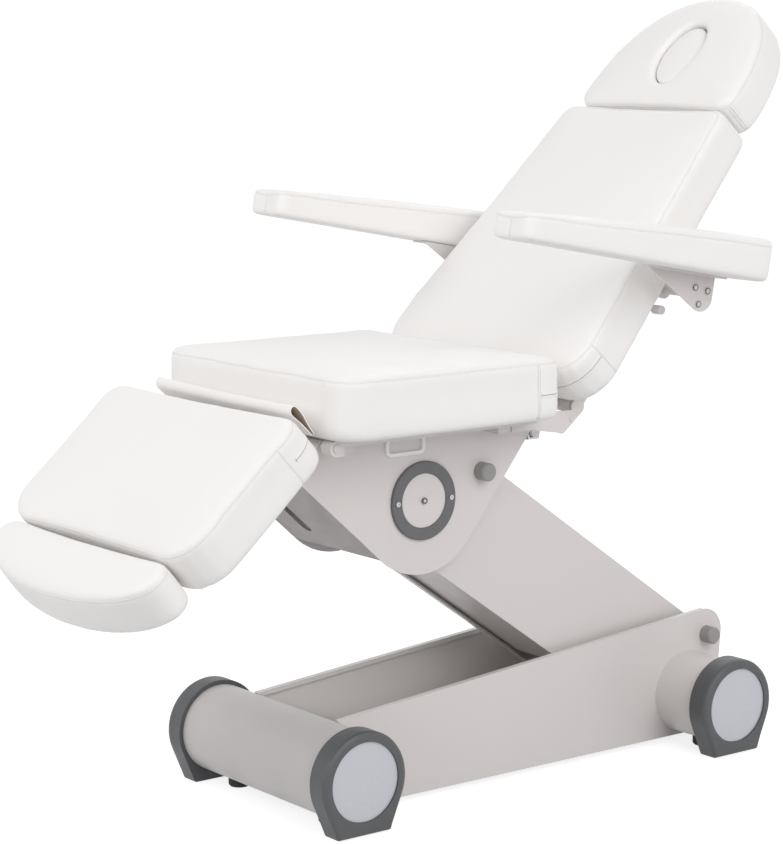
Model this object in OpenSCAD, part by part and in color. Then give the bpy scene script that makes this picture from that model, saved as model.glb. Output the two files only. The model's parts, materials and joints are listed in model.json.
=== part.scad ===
// Electric facial bed: low base, parallel lift arm, seat with back, head, leg and foot pads, two armrests.
// X runs across the bed, +Y towards the head end, +Z up. The floor is z = 0.
// The bed is drawn from the front tube's axis and moved as a whole so that its middle is over the origin.

/* [Base] */
// Distance between the front and rear tube axes
wheelbase = 938; // [860:1:1000]
// Half of the width over the front end caps
front_track = 268; // [240:1:300]
// Half of the width over the rear end caps
rear_track = 299; // [260:1:330]
// Radius of the end caps
cap_r = 96; // [92:1:102]
// Thickness of the end caps
cap_t = 46; // [36:1:56]
// Half length of the flat that a cap stands on
cap_foot = 60; // [50:1:70]
// Radius of the cap's lens
lens_r = 76.5; // [66:0.5:80]
// Radius of the front and rear tubes
tube_r = 87; // [82:1:90]
// Height of the tube axes above the floor
tube_z = 104; // [102:1:110]
// Half of the width over the base's side plates
base_half = 141; // [134:1:148]
// Height of the side plates' top edge over the front tube axis
base_front_top = 186; // [180:1:192]
// Rise of the side plates' top edge, in degrees
base_rise = 5; // [4:0.5:6]
// Thickness of the base's sheet metal
sheet = 3; // [2:0.5:4]
// Width of the fold along the top of a side plate
rail_w = 13; // [8:1:18]
// Radius of the rubber feet under the base
foot_r = 22; // [16:1:26]

/* [Lift arm] */
// Length of the arm between its two pivots
arm_len = 747; // [715:1:770]
// Angle of the arm above the horizontal as photographed
arm_angle = 33.9; // [31:0.1:36]
// Half of the width over the arm's walls
arm_half = 107; // [98:1:112]
// Thickness of the arm's sheet metal
arm_sheet = 4; // [3:0.5:5]
// Depth of the arm's walls below the line of its pivots
arm_deep = 222; // [205:1:226]
// Radius of the pivot shafts
shaft_r = 14; // [11:0.5:16]
// Radius of the round knobs on the shafts' ends
knob_r = 18; // [17:0.5:24]
// Length of the knobs
knob_l = 28; // [20:1:34]

/* [Seat bracket] */
// Half of the width over the bracket's plates
bracket_half = 143; // [132:1:150]
// Outer radius of the ring on the bracket
ring_r = 77; // [70:1:84]
// Inner radius of the ring on the bracket
ring_in = 53; // [46:1:58]
// Radius of the bracket's round lower end
bracket_r = 145; // [135:1:152]
// Thickness of the bracket's side plates
plate_t = 4; // [3:0.5:5]

/* [Pads] */
// Half of the width of the seat and leg pads
pad_half = 310; // [290:1:330]
// Length of the seat pad
seat_len = 518.5; // [490:0.5:550]
// Thickness of the seat pad above its board
seat_t = 115; // [95:1:125]
// Length of the leg pad
leg_len = 345; // [300:1:390]
// Thickness of the leg pad above its board
leg_t = 92; // [80:1:98]
// Angle of the leg pad below the horizontal as photographed
leg_angle = 42; // [36:1:46]
// Half of the width of the foot pad
foot_half = 283; // [260:1:300]
// Depth of the half-moon foot pad
foot_len = 130; // [110:1:150]
// Thickness of the foot pad
foot_t = 93; // [84:1:98]
// Length of the back pad
back_len = 678; // [640:1:710]
// Half of the back pad's width at its upper end
back_top_half = 239; // [215:1:250]
// Thickness of the back and head pads
back_t = 100; // [88:1:100]
// Angle of the back pad above the horizontal as photographed
back_angle = 47.5; // [40:0.5:52]
// Half of the head pad's width
head_half = 227; // [210:1:235]
// Length of the head pad
head_len = 300; // [260:1:320]
// Half width of the face hole
hole_half = 54; // [48:1:58]
// Length of the face hole
hole_len = 158; // [135:1:165]
// Thickness of the padded boards
board_t = 10; // [8:1:12]

/* [Armrests] */
// Distance of the armrests' middle from the bed's middle plane
rest_x = 392; // [380:1:400]
// Half of an armrest's width
rest_half = 56; // [50:1:60]
// Length of an armrest
rest_len = 633; // [600:1:720]
// Thickness of an armrest's pad above its board at its rear end
rest_t = 78; // [64:1:84]
// Slope of an armrest's underside, in degrees, front end up
rest_angle = 10.4; // [6:0.2:14]

/* [Hidden] */
$fn = 64;

// Clearances: running fit, side play of moving sheets, soft seam, weld gap, and the overrun of a cut
running = 0.06;
play = 0.6;
seam = 0.3;
weld = 0.2;
over = 1;

// Colours of the finishes
paint = [0.82, 0.81, 0.80];
plastic = [0.33, 0.34, 0.35];
knob_grey = [0.59, 0.58, 0.57];
steel = [0.62, 0.63, 0.65];
black = [0.12, 0.12, 0.13];
leather = [0.95, 0.95, 0.94];
ply = [0.85, 0.80, 0.72];

// Sizes of the base
base_low = 12;
nose_y = 30;
rail_drop = 9;
plate_round = 50;
plate_back = 5;
lower_back = 57.3;
lower_down = 54.7;
tray_front = 15;
tray_drop = 7;
tray_knee = 430;
cap_bevel = 8;
cap_corner = 5;
lens_t = 5;
lens_sunk = 4;
foot_x = 153;
foot_taper = 3;
foot_lip = 4;
beam_w = 56;
beam_h = 60;
inlet = [28, 21];
inlet_up = 62;
inlet_deep = 26;
inlet_flange = 9;
inlet_wall = 2.4;
prong = [2, 14, 5];
cover_h = 120;
box_size = [150, 120, 60];
box_gap = 12;
box_rib = 4;
box_ribs = 4;
base_in = base_half - sheet;
plate_rear = wheelbase + tube_r - sheet;
floor_top = base_low + sheet;
function base_top(y) = base_front_top + y * tan(base_rise);

// Pivots in the side view as [y, z]: lower and upper shaft, and the link a fixed offset in front of each
lower = [wheelbase + lower_back, base_top(wheelbase + lower_back) - lower_down];
upper = lower + arm_len * [-cos(arm_angle), sin(arm_angle)];
link_offset = [144.9, 42.4];
link_high = upper - link_offset;
link_low = lower - link_offset;
plate_end = [lower.x - plate_back, base_top(lower.x - plate_back) - plate_round];

// Sizes of the lift arm, its link and its motor
arm_over_rear = 17;
arm_over_front = 30;
arm_deep_rise = 14;
arm_nose = 20;
arm_tail_a = 285;
arm_tail = [209, 120];
arm_tail_deep = 150;
arm_tail_r = 36;
arm_in = arm_half - arm_sheet;
arm_lip = 13;
hub_r = 21;
collar_t = 3;
knob_edge = 3;
knob_grip = 14;
link_x = 67;
link_t = 10;
link_eye_r = 19;
link_waist = 13;
link_pin_r = 12;
under_inset = 9;
under_rear = 45;
under_front = 12;
cross_r = 15;
ear_t = 6;
ear_foot = 70;
ear_top_r = 17;
lift_back = 195.3;
lift_up = 70;
lift_eye_arm = [573, 36];
lift_play = 3.4;
lift_ring = 7;
lift_share = 0.66;
motor_tube_r = 20;
motor_rod_r = 11;
motor_wall = 2;
motor_neck = 30;
motor_front = 48;
motor_bore = 38;
eye_r = 17;
eye_t = 24;
eye_pin_r = 8;
housing_r = 22;
housing_l = 92;
housing_cap_r = 18;
housing_cap = 4;

// Sizes of the seat bracket and the seat
bracket_over = 82.9;
bracket_behind = 138.5;
bracket_nose_in = 1.5;
bracket_nose_h = 46;
panel_in = 1;
panel_t = 4;
slot_r = 14;
slot_from = 66;
ring_t = 7;
ring_edge = 1.5;
disc_t = 4;
screw_r = 5;
screw_t = 2.5;
screw_socket = 2.5;
hanger = [92, 36];
hanger_y = 90.6;
hanger_wire = 5;
hanger_r = 12;
hanger_drop = 3;
hanger_lug = 22;
mount_t = 6;
mount_drop = 2;
mount_over = 21;
frame_h = 30;
frame_w = 30;
rail_x = 230;
seat_gap = 66.5;
seat_board_t = 12;
board_in = 26;
board_front_r = 45;
board_rear_r = 15;
bar_front_in = 78;
bar_rear_in = 67;
rail_end_in = 12;
pin_r = 8;
plate_front_r = 62;
plate_rear_r = 30;
bracket_in = bracket_half - plate_t;
bracket_top = upper.y + bracket_over;
bracket_rear = [upper.x + bracket_behind, bracket_top];
seat_rear = upper.x + seat_gap;
seat_front = seat_rear - seat_len;
bracket_nose = [seat_front + bracket_nose_in, bracket_top - bracket_nose_h];
seat_board_z = bracket_top + frame_h;
seat_z = seat_board_z + seat_board_t;
seat_top = seat_z + seat_t;

// Pads: seam and edge sizes, how far the long sides are drawn in, and the crown
pad_edge = 11;
pad_draw = 5;
pad_crown = 9;
pad_low = 15;
back_low = 12.6;
head_edge = 12;
head_crown = 11;
head_low = 7;
plug_edge = 6;
plug_low = 4;
plug_crown = 5;
rest_edge = 8;
rest_draw = 3;
rest_crown = 5;
rest_low = 9;
foot_edge = 11;
foot_crown = 6;
foot_low = 12;
hem = 1;
low_share = 0.3;
lip_in_share = 0.1;
lip_down_share = 0.6;

// Back hinge: the back pad's face lies level with the seat when it is reclined flat
hinge_behind = 121;
hinge_down = 122;
back_hinge = [seat_rear + hinge_behind, seat_top - hinge_down];
back_start = -9;
ear_r = 16;
ear_plate_t = 5;
ear_front = 48;
ear_tip = [80, 3];
ear_tip_r = 12;
ear_tip_high_a = 235;
ear_tip_low_a = 315;
ear_bolt = [104, 12];
back_rail_h = 27;
back_rail_x = 192;
back_rail_w = 28;
back_rail_more = 60;
back_tube_r = 13;
back_bars = [-130, 40];
back_bar_w = 24;
back_lever = 70;
back_lever_turn = 10;
lever_r = 13.6;
lever_half = 10;
back_board_in = 44;
back_board_low = 30;
back_board_high = 12;
back_board_r = 40;
back_board_top_r = 25;
back_low_r = 72;
back_high_r = 34;
rest_pivot_u = 296;
rest_pivot_v = 4;
rest_shaft_r = 8;
rest_flange_r = 17;
rest_flange_x = 43;
rest_flange_t = 6;
clamp_u = 249;
clamp_v = 11;
clamp_r = 9;
clamp_x = 46;
clamp_l = 22;
back_face = seat_top - back_hinge.y;
back_board_v = back_face - back_t;
back_rail_v = back_board_v - board_t;
back_end_u = back_start + back_len;

// Head pad, its hinge and the face hole
head_gap = 14;
head_hinge_in = 7;
head_hinge_v = 0;
head_rail_x = 62;
head_rail_w = 24;
head_rail_in = 20;
head_lug_t = 8;
head_lug_r = 12;
head_lug_gap = 1;
head_lug_end = 90;
head_plate_t = 6;
head_plate_in = 36;
head_plate_low = 20;
head_r = 34;
hole_up = 137;
hole_rim = 8;
head_start = back_end_u + head_gap;
head_hinge_u = head_start - head_hinge_in;
hole_u = head_start + hole_up;

// Leg hinge: the leg pad's face lies level with the seat when it is raised flat
leg_hinge = [seat_front + frame_h, bracket_top + frame_h / 2];
leg_start = 39.5;
leg_rail_h = 30;
leg_rail_x = 190;
leg_rail_w = 28;
leg_rail_rise = 14;
leg_rail_in = 30;
leg_eye_r = 12;
leg_lever = 45;
leg_board_in = 24;
leg_bar_low = 70;
leg_bar_high = 60;
leg_bar_w = 30;
leg_low_r = 74;
leg_high_r = 44;
tube_wall = 3;
runner_x = 105;
runner_r = 7;
runner_from = 100;
runner_past = 60;
runner_step = 8;
foot_gap = 4;
foot_drop = 9;
foot_turn = 4;
foot_plate_t = 6;
foot_plate_in = 40;
foot_plate_gap = 16;
foot_plate_r = 16;
foot_r_corner = 40;
leg_face = seat_top - leg_hinge.y;
leg_board_v = leg_face - leg_t;
leg_rail_v = leg_board_v - seat_board_t;
leg_end_u = leg_start + leg_len;
runner_v = leg_rail_v - leg_rail_h / 2;

// Back and leg motors under the seat; each rod's head has an upright slot that a lever's pin rides in
back_motor_x = 55;
leg_motor_x = -41;
motor_down = 33;
back_foot_before = 100.6;
leg_foot_before = 45.6;
back_foot = [link_high.x - back_foot_before, bracket_top - motor_down];
leg_foot = [link_high.x - leg_foot_before, bracket_top - motor_down];
back_tube_l = 205;
leg_tube_short = 66.52;
leg_tube_l = leg_foot.x - leg_hinge.x - leg_tube_short;
back_rod_in = 155;
leg_rod_share = 0.485;
leg_rod_in = leg_tube_l * leg_rod_share;
yoke_play = 2;
yoke_wall = 5;
yoke_end = 4;
back_slot_h = [3.5, 15.5];
leg_slot_h = [5, 17];

// Armrests, their brackets and boards
rest_plate_in = 42;
rest_plate_t = 4;
rest_rise = 40;
rest_board_in = 14;
rest_board_r = 12;
rest_behind = 90;
rest_front_share = 0.55;
rest_lobe = [-5, -5];
rest_lobe_r = 29;
rest_nose_w = 153;
rest_hub_l = 14;
rest_hub_r = 18;
rest_shelf = 34;
rest_corner = 20;
rest_screw_r = 5.5;
rest_screw_ring = 20;
rest_plate_x = rest_x - rest_plate_in;
rest_y0 = rest_behind - rest_len;
rest_y1 = rest_behind;

// Flap of upholstery folded up between the seat and the leg pad
flap_half = 228;
flap_t = 3;
flap_r = 9;
flap_before = 46;
flap_up = 41;
flap_seat = [10, 4];
flap_leg = [10, 34];
flap_end = 16;
flap_top = [seat_front - flap_before, seat_z + flap_up];

// Places in the side view of points given along (u) and square to (v) the back, the leg or the arm
function turned(p, a) = [p.x * cos(a) - p.y * sin(a), p.x * sin(a) + p.y * cos(a)];
function back_point(u, v) = back_hinge + turned([u, v], back_angle);
function leg_point(u, v) = leg_hinge + turned([-u, v], leg_angle);
function arm_point(u, v) = lower + turned([-u, v], -arm_angle);

// Whole bed's reach, and the shift that puts its middle over the origin
reach_front = leg_point(leg_end_u + foot_gap, leg_face - foot_drop).x
  - (foot_len - foot_edge * lip_in_share) * cos(leg_angle - foot_turn)
  + (foot_crown + foot_edge * lip_down_share) * sin(leg_angle - foot_turn);
reach_rear = back_point(head_start + head_len - head_low * low_share,
  back_board_v + head_low * low_share).x;
shift_y = -(reach_front + reach_rear) / 2;

// Outlines: a polygon with round corners, each corner given as [x, y, radius]
corner_steps = 4;
side_steps = 5;
moon_steps = 26;
function unit(v) = v / norm(v);
function xy(p) = [p.x, p.y];
function turn_of(a, b) = (b - a + 540) % 360 - 180;
function tangent_angle(p, c, r, side) = let (d = p - c) atan2(d.y, d.x) + side * acos(r / norm(d));
function ring_point(c, r, a) = c + r * [cos(a), sin(a)];
function corner(a, b, c, r, n) =
  let (u = unit(a - b), w = unit(c - b), half = acos(u * w) / 2)
  let (o = b + unit(u + w) * r / sin(half))
  let (s = b + u * r / tan(half), e = b + w * r / tan(half))
  let (a0 = atan2(s.y - o.y, s.x - o.x), da = turn_of(a0, atan2(e.y - o.y, e.x - o.x)))
  [for (i = [0:n]) [o, ring_point(o, r, a0 + da * i / n)]];
function corners(p, n) = [for (i = [0:len(p) - 1])
  corner(xy(p[(i + len(p) - 1) % len(p)]), xy(p[i]), xy(p[(i + 1) % len(p)]), p[i].z, n)];
function rounded(p, n = 8) = [for (c = corners(p, n)) for (q = c) q[1]];
function slab(x0, x1, y0, y1, r0, r1) = [[x0, y0, r0], [x1, y0, r0], [x1, y1, r1], [x0, y1, r1]];

// Pad outlines: points as [x, y, inward normal x, inward normal y, share of the side's draw]
function pad_corners(p) = let (cs = corners(p, corner_steps)) [for (i = [0:len(cs) - 1]) each concat(
  [for (q = cs[i]) let (n = unit(q[0] - q[1])) [q[1].x, q[1].y, n.x, n.y, 0]],
  let (a = cs[i][corner_steps][1], b = cs[(i + 1) % len(cs)][0][1], d = unit(b - a))
  [for (j = [1:side_steps]) let (t = j / (side_steps + 1), q = a + (b - a) * t)
    [q.x, q.y, -d.y, d.x, sin(180 * t)]])];
function moon(half, depth, r, power) = concat(
  [for (i = [0:corner_steps]) let (a = 180 + 90 * i / corner_steps)
    [-half + r + r * cos(a), r + r * sin(a), -cos(a), -sin(a), 0]],
  [for (j = [1:side_steps]) let (t = j / (side_steps + 1)) [(half - r) * (2 * t - 1), 0, 0, 1,
    sin(180 * t)]],
  [for (i = [0:corner_steps]) let (a = 270 + 90 * i / corner_steps)
    [half - r + r * cos(a), r + r * sin(a), -cos(a), -sin(a), 0]],
  [for (i = [1:moon_steps - 1]) let (a = 180 * i / moon_steps, c = abs(cos(a)), s = sin(a))
    let (n = unit([sign(cos(a)) * pow(c, 2 - 2 / power) / half, pow(s, 2 - 2 / power) / (depth - r)]))
    [half * sign(cos(a)) * pow(c, 2 / power), r + (depth - r) * pow(s, 2 / power), -n.x, -n.y, 0]]);

// A padded form: rings of the outline from the bottom up, with drawn-in sides, a seam and a crown
function pad_ring(o, c, z, inset, draw, k, taper) = [for (p = o)
  let (q = [p[0], p[1]] + [p[2], p[3]] * (inset + draw * p[4]), s = c + (q - c) * k)
  [s.x, s.y, z * (1 + taper * (s.y - c.y))]];
module pad(outline, middle, t, edge, low, draw, crown, taper = 0) {
  side_top = t - crown - edge * 1.1;
  levels = [
    [0, low, 0, 1],
    [low * low_share, low * low_share, draw * 0.2, 1],
    [low, 0, draw * 0.5, 1],
    [t * 0.45, 0, draw, 1],
    [side_top, 0, draw * 0.7, 1],
    [side_top + edge * 0.25, edge * 0.2, draw * 0.6, 1],
    [t - crown - edge * lip_down_share, edge * lip_in_share, draw * 0.5, 1],
    [t - crown - edge * 0.2, edge * 0.55, draw * 0.3, 1],
    [t - crown, edge * 1.2, draw * 0.1, 1],
    [t - crown * 0.5, edge * 1.2, 0, 0.8],
    [t - crown * 0.12, edge * 1.2, 0, 0.45]
  ];
  n = len(outline);
  m = len(levels);
  rings = [for (l = levels) each pad_ring(outline, middle, l[0], l[1], l[2], l[3], taper)];
  points = concat(rings, [[middle.x, middle.y, 0], [middle.x, middle.y, t]]);
  bottom = [for (i = [0:n - 1]) [n * m, i, (i + 1) % n]];
  top = [for (i = [0:n - 1]) [n * m + 1, n * (m - 1) + (i + 1) % n, n * (m - 1) + i]];
  sides = [for (j = [0:m - 2]) for (i = [0:n - 1])
    let (a = n * j + i, b = n * j + (i + 1) % n)
    each [[a, a + n, b + n], [a, b + n, b]]];
  polyhedron(points = points, faces = concat(bottom, sides, top));
}

// A solid of the side-view shape below it, from one X to another, and a round bar along X
module across(x0, x1) { translate([x0, 0, 0]) rotate([90, 0, 90]) linear_extrude(x1 - x0) children(); }
module bar(p, r, x0, x1) { translate([x0, p.x, p.y]) rotate([0, 90, 0]) cylinder(r = r, h = x1 - x0); }
module ring(p, r, hole, x0, x1) {
  difference() {
    bar(p, r, x0, x1);
    bar(p, hole, x0 - over, x1 + over);
  }
}
module at(p) { translate([0, p.x, p.y]) children(); }
module centred() { translate([0, shift_y, 0]) children(); }
module both_sides() { children(); mirror([1, 0, 0]) children(); }
module both_sides_of(x) { translate([x, 0, 0]) { children(); mirror([1, 0, 0]) children(); } }

// Side plates: folded sheet, nose cut to the front tube, rear end round the lower shaft
module plate_shape() {
  difference() {
    polygon(concat([[nose_y, base_low], [plate_rear, base_low]],
      [for (i = [0:16]) ring_point(plate_end, plate_round, -10 + (100 + base_rise) * i / 16)],
      [[nose_y, base_top(nose_y)]]));
    translate([0, tube_z]) circle(r = tube_r + weld);
    translate(lower) circle(r = shaft_r + running);
  }
}
module rail_shape() {
  intersection() {
    plate_shape();
    polygon([[nose_y, base_top(nose_y) - rail_drop], [plate_end.x, base_top(plate_end.x) - rail_drop],
      [plate_end.x, base_top(plate_end.x) + over], [nose_y, base_top(nose_y) + over]]);
  }
}
module side_plate() {
  color(paint) {
    across(base_in, base_half) plate_shape();
    across(base_half - rail_w, base_in) difference() {
      rail_shape();
      translate([0, -sheet]) rail_shape();
    }
    across(base_half - rail_w, base_half - rail_w + sheet) rail_shape();
  }
}
module side_plate_right() { centred() side_plate(); }
module side_plate_left() { centred() mirror([1, 0, 0]) side_plate(); }

// Floor and sloping sheet between the side plates
module base_floor() {
  color(paint) centred() translate([-base_in, nose_y, base_low])
    cube([2 * base_in, plate_rear - 2 * sheet - nose_y, sheet]);
}
module tray_slope() {
  slope_top = [tray_front, base_top(0) - tray_drop];
  slope_low = [tray_knee, floor_top];
  color(paint) centred() across(-base_in + rail_w, base_in - rail_w) difference() {
    polygon([slope_top, slope_low, slope_low - [3 * sheet, 0], slope_top - [sheet, sheet]]);
    translate([0, tube_z]) circle(r = tube_r + weld);
  }
}

// Front tube right across, rear tubes outside the plates, and a beam between the plates
module front_tube() {
  color(paint) centred() ring([0, tube_z], tube_r, tube_r - sheet, cap_t - front_track,
    front_track - cap_t);
}
module rear_tubes() {
  color(paint) centred() {
    both_sides() difference() {
      bar([wheelbase, tube_z], tube_r - over, base_half, rear_track - cap_t);
      bar([wheelbase, tube_z], tube_r - over - sheet, base_half + sheet, rear_track - cap_t + over);
    }
    translate([-base_in, wheelbase - beam_w / 2, floor_top]) cube([2 * base_in, beam_w, beam_h]);
  }
}
module rear_cover() {
  color(paint) centred() difference() {
    translate([-base_in, plate_rear - 3 * sheet, floor_top]) cube([2 * base_in, sheet, cover_h]);
    translate([-inlet.x / 2, plate_rear - 3 * sheet - over, floor_top + inlet_up])
      cube([inlet.x, sheet + 2 * over, inlet.y]);
  }
}
module mains_inlet() {
  body = [inlet.x - seam, inlet_deep, inlet.y - seam];
  inner = -body.y + 2 * inlet_wall;
  color(black) centred() translate([0, plate_rear - 2 * sheet, floor_top + inlet_up + inlet.y / 2])
    difference() {
    union() {
      translate([-body.x / 2, -body.y, -body.z / 2]) cube([body.x, body.y + over, body.z]);
      translate([-body.x / 2 - inlet_flange, 0, -body.z / 2 - inlet_flange / 2])
        cube([body.x + 2 * inlet_flange, inlet_wall, body.z + inlet_flange]);
    }
    difference() {
      translate([-body.x / 2 + inlet_wall, inner, -body.z / 2 + inlet_wall])
        cube([body.x - 2 * inlet_wall, body.y + 2 * over, body.z - 2 * inlet_wall]);
      for (i = [-1:1]) translate([i * body.x / 4 - prong.x / 2, inner - over, -prong.z / 2])
        cube(prong);
    }
  }
}

// End caps: round, with straight sides splayed down to a flat foot, a bevelled rim and a sunk lens
function cap_outline() =
  let (a0 = tangent_angle([cap_foot, -tube_z], [0, 0], cap_r, 1), z = cap_corner - tube_z)
  let (c = (cap_r - cap_corner - sin(a0) * z) / cos(a0))
  let (arc = [for (i = [0:40]) let (a = a0 + (180 - 2 * a0) * i / 40) [0, 0, cap_r, a]])
  let (left = [for (i = [0:3]) [-c, z, cap_corner, 180 - a0 + (90 + a0) * i / 3]])
  let (right = [for (i = [0:3]) [c, z, cap_corner, 270 + (90 + a0) * i / 3]])
  [for (p = concat(arc, left, right)) [p[0], p[1], p[2], p[3]]];
module cap_body() {
  o = cap_outline();
  n = len(o);
  levels = [[0, 0], [cap_t - cap_bevel, 0], [cap_t - cap_bevel * 0.4, cap_bevel * 0.25], [cap_t,
    cap_bevel]];
  m = len(levels);
  points = [for (l = levels) for (p = o) let (b = p[1] < 0 ? min(l[1], cap_corner * 0.8) : l[1])
    [p[0] + (p[2] - b) * cos(p[3]), p[1] + (p[2] - b) * sin(p[3]), l[0]]];
  sides = [for (j = [0:m - 2]) for (i = [0:n - 1]) let (a = n * j + i, b = n * j + (i + 1) % n)
    each [[a, a + n, b + n], [a, b + n, b]]];
  difference() {
    polyhedron(points = points, faces = concat([[for (i = [0:n - 1]) i]], sides,
      [[for (i = [n - 1:-1:0]) n * (m - 1) + i]]));
    translate([0, 0, cap_t - lens_sunk - lens_t]) cylinder(r = lens_r + seam, h = cap_t);
  }
}
module end_caps(y, track) {
  color(plastic) centred() both_sides() translate([track - cap_t, y, tube_z]) rotate([90, 0, 90])
    cap_body();
}
module front_caps() { end_caps(0, front_track); }
module rear_caps() { end_caps(wheelbase, rear_track); }
module cap_lenses() {
  color([0.80, 0.83, 0.88]) centred() both_sides() {
    bar([0, tube_z], lens_r, front_track - lens_sunk - lens_t, front_track - lens_sunk);
    bar([wheelbase, tube_z], lens_r, rear_track - lens_sunk - lens_t, rear_track - lens_sunk);
  }
}
// Rubber feet, cut to the tubes above them
module base_feet() {
  rear_x = (base_half + rear_track - cap_t) / 2;
  color(black) centred() both_sides() for (p = [[foot_x, 0, tube_r], [rear_x, wheelbase,
    tube_r - over]])
    translate([p[0], p[1], 0]) difference() {
      union() {
        cylinder(r1 = foot_r - foot_taper, r2 = foot_r, h = foot_lip);
        translate([0, 0, foot_lip]) cylinder(r = foot_r, h = tube_z - tube_r + foot_lip - over);
      }
      bar([0, tube_z], p[2] + weld, -2 * foot_r, 2 * foot_r);
    }
}

// Shafts and their knobs
module knob(p, x) {
  at(p) translate([x, 0, 0]) rotate([0, 90, 0]) difference() {
    rotate_extrude() polygon([[0, 0], [knob_r, 0], [knob_r, knob_l - knob_edge],
      [knob_r - knob_edge, knob_l], [0, knob_l]]);
    translate([0, 0, -over]) cylinder(r = shaft_r + running, h = knob_grip + over);
  }
}
module shaft(p, half, collar_from, collar_to) {
  bar(p, shaft_r, -half, half);
  both_sides() bar(p, shaft_r + collar_t, collar_from, collar_to);
}
module lower_shaft() {
  color(steel) centred() shaft(lower, base_half + knob_grip - over, arm_half + play, base_in);
}
module upper_shaft() {
  color(steel) centred() shaft(upper, bracket_half + knob_grip - over, arm_half + play, bracket_in);
}
module lower_knobs() { color(knob_grey) centred() both_sides() knob(lower, base_half); }
module upper_knobs() { color(knob_grey) centred() both_sides() knob(upper, bracket_half); }

// Ears on the base floor: two carry the links' pins, two hold the lift motor's foot
module ear(p, x0, foot_w) {
  across(x0, x0 + ear_t) {
    translate(p) circle(r = ear_top_r);
    polygon([[p.x - foot_w / 2, floor_top], [p.x + foot_w / 2, floor_top],
      [p.x + ear_top_r, p.y], [p.x - ear_top_r, p.y]]);
  }
}
lift_foot = [lower.x - lift_back, lift_up];
module base_ears() {
  link_ear_x = link_x - link_t / 2 - play - ear_t;
  lift_ear_x = eye_t / 2 + play;
  color(paint) centred() {
    both_sides() {
      ear(link_low, link_ear_x, ear_foot);
      bar(link_low, link_pin_r, link_ear_x + ear_t / 2, link_x + link_t / 2 + ear_t / 2);
      ear(lift_foot, lift_ear_x, ear_foot);
    }
    bar(lift_foot, eye_pin_r, -lift_ear_x - ear_t / 2, lift_ear_x + ear_t / 2);
    translate([-lift_ear_x - ear_t, lift_foot.x - ear_foot / 2, floor_top])
      cube([2 * (lift_ear_x + ear_t), ear_foot, ear_t]);
  }
}
module control_box() {
  color(plastic) centred() translate([-box_size.x / 2, tube_r + box_gap, floor_top]) {
    cube(box_size);
    for (i = [1:box_ribs]) translate([i * box_size.x / (box_ribs + 1) - sheet / 2, sheet,
      box_size.z - over])
      cube([sheet, box_size.y - 2 * sheet, box_rib]);
    translate([box_size.x - over, box_size.y / 4, box_size.z / 4])
      cube([2 * box_rib, box_size.y / 3, box_size.z / 2]);
  }
}

// Lift arm: a folded channel open underneath, a hub tube at each pivot. u runs up from the lower pivot
function over_line(u) = arm_over_rear + (arm_over_front - arm_over_rear) * u / arm_len;
function under_line(u) = -arm_deep + arm_deep_rise * u / arm_len;
arm_front_u = arm_len - arm_nose;
module arm_shape() {
  tail_a = 180 - asin(arm_over_rear / arm_tail_r);
  difference() {
    polygon(concat(
      [for (i = [0:12]) ring_point([arm_len, 0], arm_over_front, 90 - 110 * i / 12)],
      [[arm_front_u, under_line(arm_front_u)], [arm_tail[0], under_line(arm_tail[0])],
        [arm_tail[1], -arm_tail_deep]],
      [for (i = [0:12]) ring_point([0, 0], arm_tail_r, arm_tail_a + (tail_a - arm_tail_a) * i / 12)]));
    circle(r = shaft_r + running);
    translate([arm_len, 0]) circle(r = shaft_r + running);
  }
}
module on_arm() { at(lower) rotate([-arm_angle, 0, 0]) mirror([0, 1, 0]) children(); }
module arm_shell() {
  color(paint) centred() on_arm() {
    both_sides() {
      across(arm_in, arm_half) arm_shape();
      across(arm_in - arm_lip, arm_in + over) polygon([
        [arm_tail[0], under_line(arm_tail[0])], [arm_front_u, under_line(arm_front_u)],
        [arm_front_u, under_line(arm_front_u) + arm_sheet], [arm_tail[0],
          under_line(arm_tail[0]) + arm_sheet]]);
    }
    across(-arm_in - over, arm_in + over) polygon([
      [shaft_r + collar_t, over_line(shaft_r + collar_t)], [arm_len, arm_over_front],
      [arm_len, arm_over_front - arm_sheet], [shaft_r + collar_t,
        over_line(shaft_r + collar_t) - arm_sheet]]);
    for (u = [0, arm_len]) ring([u, 0], hub_r, shaft_r + running, -arm_in - over, arm_in + over);
    across(-arm_in - over, arm_in + over) polygon([[arm_len - arm_sheet, hub_r - over],
      [arm_len + arm_sheet, hub_r - over], [arm_len, arm_over_front], [arm_len - arm_sheet,
        arm_over_front - over]]);
  }
}
module arm_underplate() {
  u0 = arm_tail[0] + under_rear;
  u1 = arm_front_u - under_front;
  color(paint) centred() on_arm() across(-arm_in, arm_in) polygon([
    [u0, under_line(u0) + under_inset], [u1, under_line(u1) + under_inset],
    [u1, under_line(u1) + under_inset + sheet], [u0, under_line(u0) + under_inset + sheet]]);
}
module arm_crosstube() {
  color(steel) centred() on_arm() ring([lift_eye_arm.x, -lift_eye_arm.y], cross_r, cross_r - sheet,
    -arm_in, arm_in);
}
// Parallel link: two flat bars from the base's ears to the pin through the bracket
module parallel_link() {
  color(steel) centred() at(link_low) rotate([-arm_angle, 0, 0]) mirror([0, 1, 0]) both_sides()
    across(link_x - link_t / 2, link_x + link_t / 2) difference() {
      union() {
        circle(r = link_eye_r);
        translate([arm_len, 0]) circle(r = link_eye_r);
        translate([0, -link_waist]) square([arm_len, 2 * link_waist]);
      }
      circle(r = link_pin_r + running);
      translate([arm_len, 0]) circle(r = link_pin_r + play);
    }
}

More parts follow.
